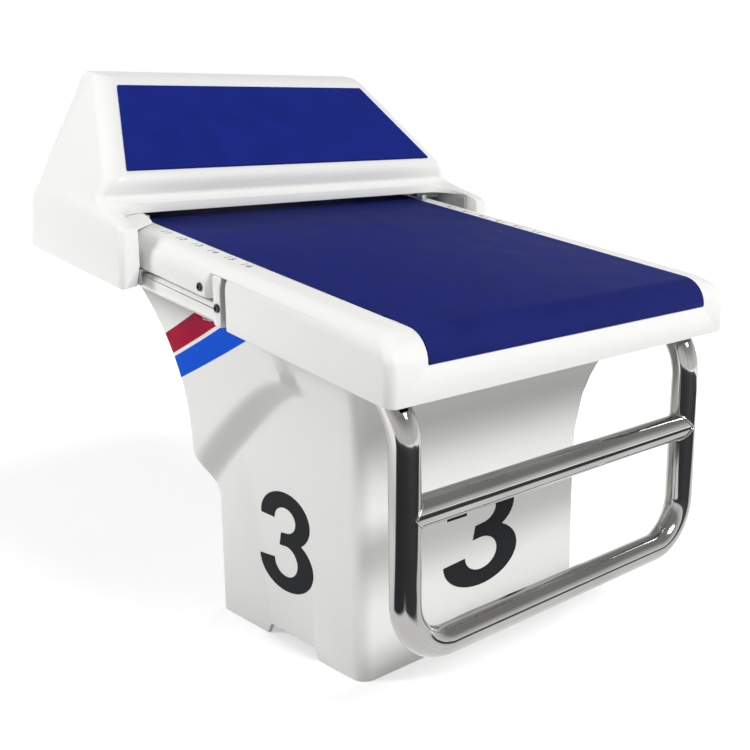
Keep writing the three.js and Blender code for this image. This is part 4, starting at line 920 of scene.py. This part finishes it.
def leg_gap():
    """The gap between the legs, in plan: a slot whose two inner corners are quarter rounds."""
    front, turn = KICK_LEG_FRONT - OVERRUN, LEG_INNER - KICK_LIP_FILLET
    angle = np.linspace(0, np.pi / 2, 17)
    right = np.stack([turn + KICK_LIP_FILLET * np.cos(angle),
                      KICK_LIP_FRONT - KICK_LIP_FILLET + KICK_LIP_FILLET * np.sin(angle)], axis=-1)
    outline = np.concatenate([[(-LEG_INNER, front), (LEG_INNER, front)], right, right[::-1] * (-1, 1)])
    return lifted(prism("leg_gap", outline, -KICK_SKIRT_DROP - OVERRUN, KICK_NOSE_LIFT, 2))


def face_panel(name, grow, floor, depth):
    """The foot pad's outline on the wedge's face, whose own axes are across, up the face and out of it."""
    start = Vector((0, KICK_FACE_FRONT, deck_top(KICK_FACE_FRONT) + KICK_FACE_LIFT))
    end_y = KICK_FACE_FRONT + KICK_FACE_RUN
    end = Vector((0, end_y, deck_top(end_y) + KICK_FACE_LIFT + KICK_FACE_RISE))
    up = (end - start).normalized()
    out = Vector((0, -up.z, up.y))
    foot, head = PAD_BOTTOM_INSET - grow, (end - start).length - PAD_TOP_INSET + grow
    wide, narrow = PAD_BOTTOM_HALF + grow, PAD_TOP_HALF + grow
    outline = [(-wide, foot), (wide, foot), (narrow, head), (-narrow, head)]
    panel = prism(name, outline, floor, floor + depth, 2)
    panel.data.transform(Matrix.Translation(start) @ Matrix(((1, 0, 0), up, out)).transposed().to_4x4())
    return outward(panel)


def leg_facet():
    """What a slanting cut takes off a leg's inner front edge: all that lies in front of a plane through three
    points, one up on that edge and two at the leg's foot."""
    inner, front = LEG_INNER - HAIR, KICK_LEG_FRONT
    level = np.array([(inner, front, FACET_LIFT), (inner + FACET_WIDTH, front, -KICK_SKIRT_DROP),
                      (inner, front + FACET_DEPTH, -KICK_SKIRT_DROP)])
    middle = level.mean(axis=0)
    near = middle + (level - middle) * FACET_GROWTH
    out = np.cross(level[1] - level[0], level[2] - level[0])
    out *= -np.sign(out[1]) * FACET_THICKNESS / np.linalg.norm(out)
    return lifted(outward(loft("facet", [near, near + out])))


class BLOCK_OT_kick_wedge(Operator):
    """Moulds the kick wedge's housing and sets its foot pad into it"""
    bl_idname = "block.kick_wedge"
    bl_label = "Kick wedge"

    def execute(self, context):
        housing = kick_body("kick_wedge_housing", *kick_rows())
        foot = -KICK_SKIRT_DROP - OVERRUN
        saddle = lifted_block("saddle", (-LEG_INNER, KICK_LEG_FRONT - OVERRUN, foot),
                              (LEG_INNER, KICK_REAR + OVERRUN, KICK_LIP_GAP))
        hand_hole = lifted_block("hand_hole", (-HAND_HOLE_HALF, KICK_REAR - KICK_REAR_CORNER,
                                               KICK_LIP_GAP - OVERRUN),
                                 (HAND_HOLE_HALF, KICK_REAR + OVERRUN, HAND_HOLE_LIFT))
        pocket = lifted_block("pocket", (LEG_INNER + LEG_SIDE_WALL, KICK_LEG_FRONT + LEG_FRONT_WALL, foot),
                              (KICK_HIP_HALF - LEG_SIDE_WALL, KICK_REAR - LEG_REAR_WALL, -LEG_ROOF))
        recess = face_panel("recess", GAP, -PAD_RECESS, PAD_THICKNESS)
        carved(housing, kick_room(), leg_gap(), saddle, hand_hole, recess, *both_sides(pocket),
               *both_sides(leg_facet()))
        softened(housing, context.scene.block_sizes.shell_edge, shade=50)
        dressed(finished(housing, "kick_housing"), "shell")
        pad = face_panel("foot_pad", 0, GAP - PAD_RECESS, PAD_THICKNESS)
        dressed(finished(softened(pad, PAD_EDGE), "kick_pad"), "pad")
        return {"FINISHED"}


# Handgrip

def grip_path():
    """The tube's middle line, from the right end to the left: tail, neck, upright, corner, bottom and back.
    Each arc is its centre plus radius times (cos, sin) of the turn, and straight runs join the arcs."""
    lean, rise_share = math.sin(GRIP_NECK_ANGLE), math.cos(GRIP_NECK_ANGLE)
    reach = (GRIP_END_Y - GRIP_Y - GRIP_NECK_RADIUS * (1 - rise_share)) / lean
    end_height = deck_top(GRIP_END_Y) - DECK_DEPTH + GRIP_END_RISE
    neck = end_height - reach * rise_share - GRIP_NECK_RADIUS * lean
    bend = np.linspace(GRIP_NECK_ANGLE, 0, 25)
    corner = np.linspace(0, np.pi / 2, 33)
    neck_y = GRIP_Y + GRIP_NECK_RADIUS * (1 - np.cos(bend))
    neck_z = neck + GRIP_NECK_RADIUS * np.sin(bend)
    middle_x, middle_z = GRIP_HALF_SPAN - GRIP_CORNER_RADIUS, GRIP_BOTTOM + GRIP_CORNER_RADIUS
    upper = np.stack([np.full(25, GRIP_HALF_SPAN), neck_y, neck_z], axis=-1)
    lower = np.stack([middle_x + GRIP_CORNER_RADIUS * np.cos(corner), np.full(33, GRIP_Y),
                      middle_z - GRIP_CORNER_RADIUS * np.sin(corner)], axis=-1)
    right = np.concatenate([[(GRIP_HALF_SPAN, GRIP_END_Y, end_height)], upper, lower])
    path = np.concatenate([right, right[::-1] * (-1, 1, 1)])
    upper_way = np.stack([0 * bend, -np.sin(bend), -np.cos(bend)], axis=-1)
    lower_way = np.stack([-np.sin(corner), 0 * corner, -np.cos(corner)], axis=-1)
    way = np.concatenate([upper_way[:1], upper_way, lower_way])
    tangents = np.concatenate([way, way[::-1] * (1, -1, -1)])
    return path, tangents


def weld_bead(name, side):
    """A bead where the crossbar meets the tube: both have one radius, so the joint lies on two half ellipses
    whose depth towards the tube's middle is the radius times the cosine of the turn."""
    steps, sides = 64, 12
    turn = np.linspace(0, 2 * np.pi, steps, endpoint=False)
    radius = GRIP_RADIUS + BEAD_PROUD
    middle = np.stack([side * (GRIP_HALF_SPAN - radius * np.abs(np.cos(turn))),
                       GRIP_Y + radius * np.sin(turn), GRIP_BAR_HEIGHT + radius * np.cos(turn)], axis=-1)
    way = np.roll(middle, -1, axis=0) - np.roll(middle, 1, axis=0)
    way /= np.linalg.norm(way, axis=1, keepdims=True)
    outwards = middle - (side * (GRIP_HALF_SPAN - radius), GRIP_Y, GRIP_BAR_HEIGHT)
    outwards -= way * np.sum(outwards * way, axis=1, keepdims=True)
    outwards /= np.linalg.norm(outwards, axis=1, keepdims=True)
    beside = np.cross(way, outwards)
    around = np.linspace(0, 2 * np.pi, sides, endpoint=False)[None, :, None]
    rings = middle[:, None] + BEAD_RADIUS * (np.cos(around) * outwards[:, None]
                                             + np.sin(around) * beside[:, None])
    index = np.arange(steps * sides).reshape(steps, sides)
    after = np.roll(index, -1, axis=0)
    faces = np.stack([index, np.roll(index, -1, axis=1), np.roll(after, -1, axis=1), after], axis=-1)
    return outward(mesh_piece(name, rings, faces.reshape(-1, 4).tolist()))


class BLOCK_OT_handgrip(Operator):
    """Bends the handgrip's tube and welds its crossbar in"""
    bl_idname = "block.handgrip"
    bl_label = "Handgrip"

    def execute(self, context):
        tube = swept("handgrip", *grip_path(), GRIP_RADIUS, sides=64)
        dressed(finished(softened(tube, 0, shade=60), "handgrip_tube"), "tube")
        ends = np.array([(side * GRIP_HALF_SPAN, GRIP_Y, GRIP_BAR_HEIGHT) for side in (-1, 1)])
        bar = swept("handgrip_bar", ends, np.array([(1.0, 0, 0)] * 2), GRIP_RADIUS, sides=64)
        dressed(finished(softened(bar, 0, shade=60), "handgrip_crossbar"), "tube")
        for hand, side in (("right", 1), ("left", -1)):
            bead = softened(weld_bead(f"bar_weld_{hand}", side), 0, shade=60)
            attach(dressed(bead, "chrome"), "base")
        return {"FINISHED"}


# Rails, bolts and slides

def button_bolt(name, node_name, side):
    """A button-head bolt turned about its axis, with a six-sided socket in its head."""
    low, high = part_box(node_name)
    centre = ((high[0] if side > 0 else low[0]), (low[1] + high[1]) / 2, (low[2] + high[2]) / 2)
    head = (high[1] - low[1]) / 2
    profile = [(HAIR, -BOLT_LENGTH), (BOLT_SHANK, -BOLT_LENGTH), (BOLT_SHANK, -HEAD_HEIGHT),
               (head, -HEAD_HEIGHT)]
    profile += [(head - HEAD_ROUND * (1 - math.cos(turn)),
                 (HEAD_HEIGHT - HEAD_EDGE) * math.sin(turn) - HEAD_HEIGHT + HEAD_EDGE)
                for turn in np.linspace(0, np.pi / 2, 9)]
    profile += [(head * SOCKET_MOUTH, 0.0), (head * SOCKET_FLOOR, -SOCKET_DEPTH), (HAIR, -SOCKET_POINT)]
    return turned(name, [(radius, side * along) for radius, along in profile], centre)


def pointer_nose():
    """The pointer: a tapering nose in plan, whose front edge draws back as it rises to the wedge's lip."""
    rings = []
    for lift, pull in zip(POINTER_LIFTS, POINTER_PULLS):
        rear = POINTER_REAR
        plan = rounded_outline([
            (-POINTER_OUTER, rear), (-POINTER_OUTER, rear - POINTER_LENGTH + pull),
            (-POINTER_SHOULDER - pull * POINTER_TAPER, rear - POINTER_SHOULDER_LENGTH + pull),
            (-POINTER_ROOT, rear)], POINTER_CORNER)
        rings.append(np.column_stack([plan, np.full(len(plan), lift)]))
    return lifted(outward(loft("scale_pointer", rings)))


def about_rod(points):
    """Level points about the rod's centre, turned with the deck and the latch's lift, and set at the rod."""
    angle = math.atan(DECK_SLOPE) + LATCH_LIFT
    x, y, z = np.moveaxis(np.asarray(points, dtype=float), -1, 0)
    return np.stack([x, ROD_Y + y * math.cos(angle) - z * math.sin(angle),
                     ROD_HEIGHT + y * math.sin(angle) + z * math.cos(angle)], axis=-1)


def handle_path():
    """The handle's middle line: out along one arm, round a quarter turn, across, and back along the other."""
    turn = np.linspace(0, np.pi / 2, 17)
    bend_x, bend_y = HANDLE_HALF - HANDLE_BEND, HANDLE_REACH - HANDLE_BEND
    arc = np.stack([bend_x + HANDLE_BEND * np.cos(turn), bend_y + HANDLE_BEND * np.sin(turn), 0 * turn],
                   axis=-1)
    arc_way = np.stack([-np.sin(turn), np.cos(turn), 0 * turn], axis=-1)
    right = np.concatenate([[(HANDLE_HALF, HUB_RADIUS / 2, 0)], arc])
    right_way = np.concatenate([[(0, 1, 0)], arc_way])
    path = np.concatenate([right, right[::-1] * (-1, 1, 1)])
    way = np.concatenate([right_way, right_way[::-1] * (1, -1, 1)])
    return about_rod(path), about_rod(way) - about_rod((0, 0, 0)), about_rod((0, 0, 1)) - about_rod((0, 0, 0))


class BLOCK_OT_slides(Operator):
    """Finishes the guide rails, slides, index strips, pointer and bolts"""
    bl_idname = "block.slides"
    bl_label = "Rails and slides"

    def execute(self, context):
        for hand, side in (("right", 1), ("left", -1)):
            dressed(refined(f"side_rail_{hand}", f"guide_rail_{hand}", MOULDED_EDGE), "paint")
            dressed(refined(f"notched_strip_{hand}", f"index_strip_{hand}", METAL_EDGE), "aluminium")
            dressed(refined(f"tongue_{hand}", f"slide_tongue_{hand}", METAL_EDGE), "aluminium")
            for place in ("front", "rear"):
                dressed(refined(f"glide_block_{place}_{hand}", f"glide_{place}_{hand}", MOULDED_EDGE),
                        "nylon")
            for bolt in ("flange_bolt", "rail_bolt_front", "rail_bolt_rear"):
                screw = softened(button_bolt(f"{bolt}_screw_{hand}", f"{bolt}_{hand}", side), 0, shade=50)
                dressed(finished(screw, f"{bolt}_{hand}"), "screw")
        nose = softened(pointer_nose(), POINTER_EDGE, shade=50)
        dressed(finished(nose, "position_pointer"), "shell")
        path, way, flat = handle_path()
        bar = swept("handle_bar", path, way, HANDLE_RADIUS, 32, flat)
        half = HUB_LENGTH / 2
        hub = [(HAIR, -half), (HUB_RADIUS - HUB_EDGE, -half), (HUB_RADIUS, HUB_EDGE - half),
               (HUB_RADIUS, half - HUB_EDGE), (HUB_RADIUS - HUB_EDGE, half), (HAIR, half)]
        hubs = [turned("hub", hub, (side * HANDLE_HALF, ROD_Y, ROD_HEIGHT)) for side in (-1, 1)]
        handle = softened(joined("latch_handle", bar, *hubs), 0, shade=40)
        dressed(finished(handle, "release_handle"), "chrome")
        return {"FINISHED"}


# Markings

def film(name, plan, faces, place):
    """A thin film over flat faces, put in its place by a function of across, up and out."""
    sheet = mesh_piece(name, np.column_stack([plan, np.zeros(len(plan))]), faces)
    thick = sheet.modifiers.new("paint film", "SOLIDIFY")
    thick.thickness, thick.offset = FILM, 1.0
    moved(settled(sheet), lambda points: place(*points.T))
    sheet.data.shade_flat()
    return outward(sheet)


def three_outline(width, height):
    """A bold 3 in a box: two bowls, each an outer and an inner half turn of an ellipse (centre plus half axes
    times cos, sin), that meet at the waist, and a short middle bar."""
    def bowl(centre, across, up, start, end):
        turn = np.radians(np.linspace(start, end, 28))
        return np.stack([0.5 + across * np.cos(turn), centre + up * np.sin(turn)], axis=-1)
    points = np.concatenate([
        bowl(0.731, 0.455, 0.269, 183, -50), bowl(0.288, 0.500, 0.288, 55, -180),
        bowl(0.308, 0.215, 0.155, -180, 88), [(0.385, 0.455), (0.42, 0.585)],
        bowl(0.720, 0.195, 0.126, -88, 183)])
    return (points[::-1] - 0.5) * (width, height)


def glyphs(words, height):
    """Flat letters: their points, centred, at the given height, and their faces."""
    curve = bpy.data.curves.new("words", "FONT")
    curve.body, curve.offset, curve.resolution_u = words, NUMERAL_BOLDNESS, 4
    source = bpy.data.objects.new("words", curve)
    bpy.context.collection.objects.link(source)
    bpy.context.view_layer.update()
    mesh = bpy.data.meshes.new_from_object(source.evaluated_get(bpy.context.evaluated_depsgraph_get()))
    bpy.data.objects.remove(source)
    plan = points_of(mesh)[:, :2]
    low, high = plan.min(axis=0), plan.max(axis=0)
    faces = [list(face.vertices) for face in mesh.polygons]
    return (plan - (low + high) / 2) * (height / (high[1] - low[1])), faces


def rim_scale(height):
    """The scale on a rim: evenly spaced ticks across it, each with its number. The first axis runs along the
    rim and the second across it."""
    plans, faces, count = [], [], 0
    tick = np.array([(-1, -1), (1, -1), (1, 1), (-1, 1)]) * (TICK_HALF_WIDTH, TICK_HALF_LENGTH)
    for place in range(MARK_COUNT):
        number, number_faces = glyphs(str(place + 1), height)
        for plan, shapes in ((number + (NUMERAL_AHEAD, 0), number_faces),
                             (tick - (TICK_SETBACK, 0), [[0, 1, 2, 3]])):
            plans.append(plan + (place * MARK_PITCH, 0))
            faces += [[corner + count for corner in shape] for shape in shapes]
            count += len(plan)
    return np.concatenate(plans), faces


class BLOCK_OT_markings(Operator):
    """Paints the numbers on the column and the scales on the deck's rims"""
    bl_idname = "block.markings"
    bl_label = "Markings"

    def execute(self, context):
        sizes = context.scene.block_sizes
        front = three_outline(sizes.front_digit * FRONT_NUMBER_SHAPE, sizes.front_digit)
        flank = three_outline(sizes.flank_digit * FLANK_NUMBER_SHAPE, sizes.flank_digit)
        scale = rim_scale(sizes.scale_text)
        rim = (MAT_HALF + DECK_HALF - DECK_EDGE_RADIUS) / 2

        def on_front(u, v, w):
            z = v + NUMBER_HEIGHT
            return np.stack([u + FRONT_NUMBER_X, column_front(-COLUMN_END + 0 * z, z) - w, z], axis=-1)

        def on_flank(side):
            return lambda u, v, w: np.stack([side * (COLUMN_HALF + w), side * u + FLANK_NUMBER_Y,
                                             v + NUMBER_HEIGHT], axis=-1)

        def on_rim(side):
            """The scale's ink is thinner than the numbers', so that the glides pass over it."""
            start = MARK_START + (MARK_COUNT - 1) * MARK_PITCH * (side < 0)
            return lambda u, v, w: on_deck(np.stack([side * (rim - v), side * u + start, w * RIM_FILM_SHARE],
                                                    axis=-1))
        sides = (("left", -1), ("right", 1))
        films = {"lane_number_front": (front, [list(range(len(front)))], on_front, "ink")}
        for hand, side in sides:
            films[f"lane_number_{hand}"] = (flank, [list(range(len(flank)))], on_flank(side), "ink")
        for hand, side in sides:
            films[f"rim_scale_{hand}"] = (*scale, on_rim(side), "scale")
        for name, (plan, shapes, place, look) in films.items():
            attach(dressed(film(name, plan, shapes, place), look), "base")
        return {"FINISHED"}


# Stage

class BLOCK_OT_stage(Operator):
    """Sets the floor, the lights and the camera"""
    bl_idname = "block.stage"
    bl_label = "Stage"

    def execute(self, context):
        scene = context.scene
        scene.view_settings.view_transform = "Standard"
        corners = [(x * FLOOR_HALF, y * FLOOR_HALF, 0) for x, y in ((-1, -1), (1, -1), (1, 1), (-1, 1))]
        floor = mesh_piece("floor", corners, [(0, 1, 2, 3)])
        floor.data.materials.append(white_ground())
        white_world(scene)
        for name, place, size, power in LAMPS:
            lamp = bpy.data.lights.new(name, "AREA")
            lamp.shape, lamp.size, lamp.energy = "DISK", size, power
            held = bpy.data.objects.new(name, lamp)
            held.location = place
            held.visible_glossy = name == "front"
            held.rotation_euler = (Vector(LAMP_AIM) - Vector(place)).to_track_quat("-Z", "Y").to_euler()
            scene.collection.objects.link(held)
        view = bpy.data.objects.new("camera", bpy.data.cameras.new("camera"))
        view.data.lens, view.data.sensor_width = CAMERA_LENS, CAMERA_SENSOR
        forward = Vector((-math.sin(CAMERA_YAW) * math.cos(CAMERA_PITCH),
                          math.cos(CAMERA_YAW) * math.cos(CAMERA_PITCH), math.sin(CAMERA_PITCH)))
        level = Vector((math.cos(CAMERA_YAW), math.sin(CAMERA_YAW), 0))
        up = level.cross(forward)
        right = level * math.cos(CAMERA_ROLL) + up * math.sin(CAMERA_ROLL)
        up = up * math.cos(CAMERA_ROLL) - level * math.sin(CAMERA_ROLL)
        turn = Matrix((right, up, -forward)).transposed().to_4x4()
        view.matrix_world = Matrix.Translation(CAMERA_PLACE) @ turn
        scene.collection.objects.link(view)
        scene.camera = view
        return {"FINISHED"}


def white_ground():
    """White floor that keeps the shadow: far off it is seen as plain white, and near the block a little less.
    Mirrors also see patches of the floor painted dark, a painted reflection that darkens the polished steel."""
    material = bpy.data.materials.new("white_floor")
    material.use_nodes = True
    tree = material.node_tree
    shader = tree.nodes["Principled BSDF"]
    place = node(tree, "ShaderNodeTexCoord").outputs["Object"]
    spot = node(tree, "ShaderNodeSeparateXYZ", {0: place})
    distance = node(tree, "ShaderNodeVectorMath", {0: place}, operation="LENGTH").outputs["Value"]
    path = node(tree, "ShaderNodeLightPath").outputs
    mirrored = path["Is Glossy Ray"]
    # Painted reflection: in the listed patches the floor's colour turns nearly black for glossy rays only, so
    # that the steel mirrors dark there
    dark_patches = [combined(tree, "MULTIPLY", *(between(tree, spot.outputs[axis], *span)
                                          for axis, span in zip("XY", zone))) for zone in MIRROR_PAINTED_DARK_PATCHES]
    painted_reflection = combined(tree, "MULTIPLY", combined(tree, "MAXIMUM", *dark_patches), mirrored)
    shader.inputs["Roughness"].default_value = 0.9
    tree.links.new(mix(tree, painted_reflection, rgba((0.6, 0.6, 0.6)), rgba((0.02, 0.02, 0.025))),
                   shader.inputs["Base Color"])
    seen = combined(tree, "MAXIMUM", path["Is Camera Ray"], mirrored, path["Is Transmission Ray"])
    glow = scaled(tree, ramp(tree, distance, *FLOOR_FADE), FLOOR_NEAR, 1.0)
    # The painted dark patches also lose their glow for glossy rays
    lit = combined(tree, "MULTIPLY", glow, combined(tree, "SUBTRACT", 1.0, painted_reflection))
    shader.inputs["Emission Color"].default_value = (1, 1, 1, 1)
    tree.links.new(combined(tree, "MULTIPLY", seen, lit), shader.inputs["Emission Strength"])
    return material


def white_world(scene):
    """A soft pale surround: seen as plain white, and by mirrors as white low down and dimmer overhead."""
    world = bpy.data.worlds.new("studio")
    scene.world = world
    world.use_nodes = True
    tree = world.node_tree
    back = tree.nodes["Background"]
    path = node(tree, "ShaderNodeLightPath").outputs
    way = node(tree, "ShaderNodeSeparateXYZ", {0: node(tree, "ShaderNodeTexCoord").outputs["Generated"]})
    height = way.outputs["Z"]
    mirrored = scaled(tree, ramp(tree, height, *SKY_FADE), 1.0, SKY_MIRRORED)
    strength = combined(tree, "MAXIMUM", path["Is Camera Ray"], path["Is Transmission Ray"],
                        scaled(tree, height, SKY_LIGHT, ZENITH_LIGHT),
                        combined(tree, "MULTIPLY", path["Is Glossy Ray"], mirrored))
    back.inputs["Color"].default_value = (1, 1, 1, 1)
    tree.links.new(strength, back.inputs["Strength"])


class BLOCK_PT_panel(Panel):
    """Lists the block's colours, sizes and steps"""
    bl_idname = "BLOCK_PT_panel"
    bl_label = "Starting block"
    bl_space_type = "VIEW_3D"
    bl_region_type = "UI"
    bl_category = "Starting block"

    def draw(self, context):
        for settings in (context.scene.block_colours, context.scene.block_sizes):
            for key in settings.__annotations__:
                self.layout.prop(settings, key)
        for step in STEPS:
            self.layout.operator(step.bl_idname)


STEPS = (BLOCK_OT_finishes, BLOCK_OT_column, BLOCK_OT_deck, BLOCK_OT_kick_wedge, BLOCK_OT_handgrip,
         BLOCK_OT_slides, BLOCK_OT_markings, BLOCK_OT_stage)
CLASSES = (BlockColours, BlockSizes, *STEPS, BLOCK_PT_panel)


def register():
    for kind in CLASSES:
        bpy.utils.register_class(kind)
    bpy.types.Scene.block_colours = PointerProperty(type=BlockColours)
    bpy.types.Scene.block_sizes = PointerProperty(type=BlockSizes)


def unregister():
    del bpy.types.Scene.block_sizes
    del bpy.types.Scene.block_colours
    for kind in reversed(CLASSES):
        bpy.utils.unregister_class(kind)


def main():
    register()
    for step in STEPS:
        area, name = step.bl_idname.split(".")
        getattr(getattr(bpy.ops, area), name)()


if __name__ == "__main__":
    main()
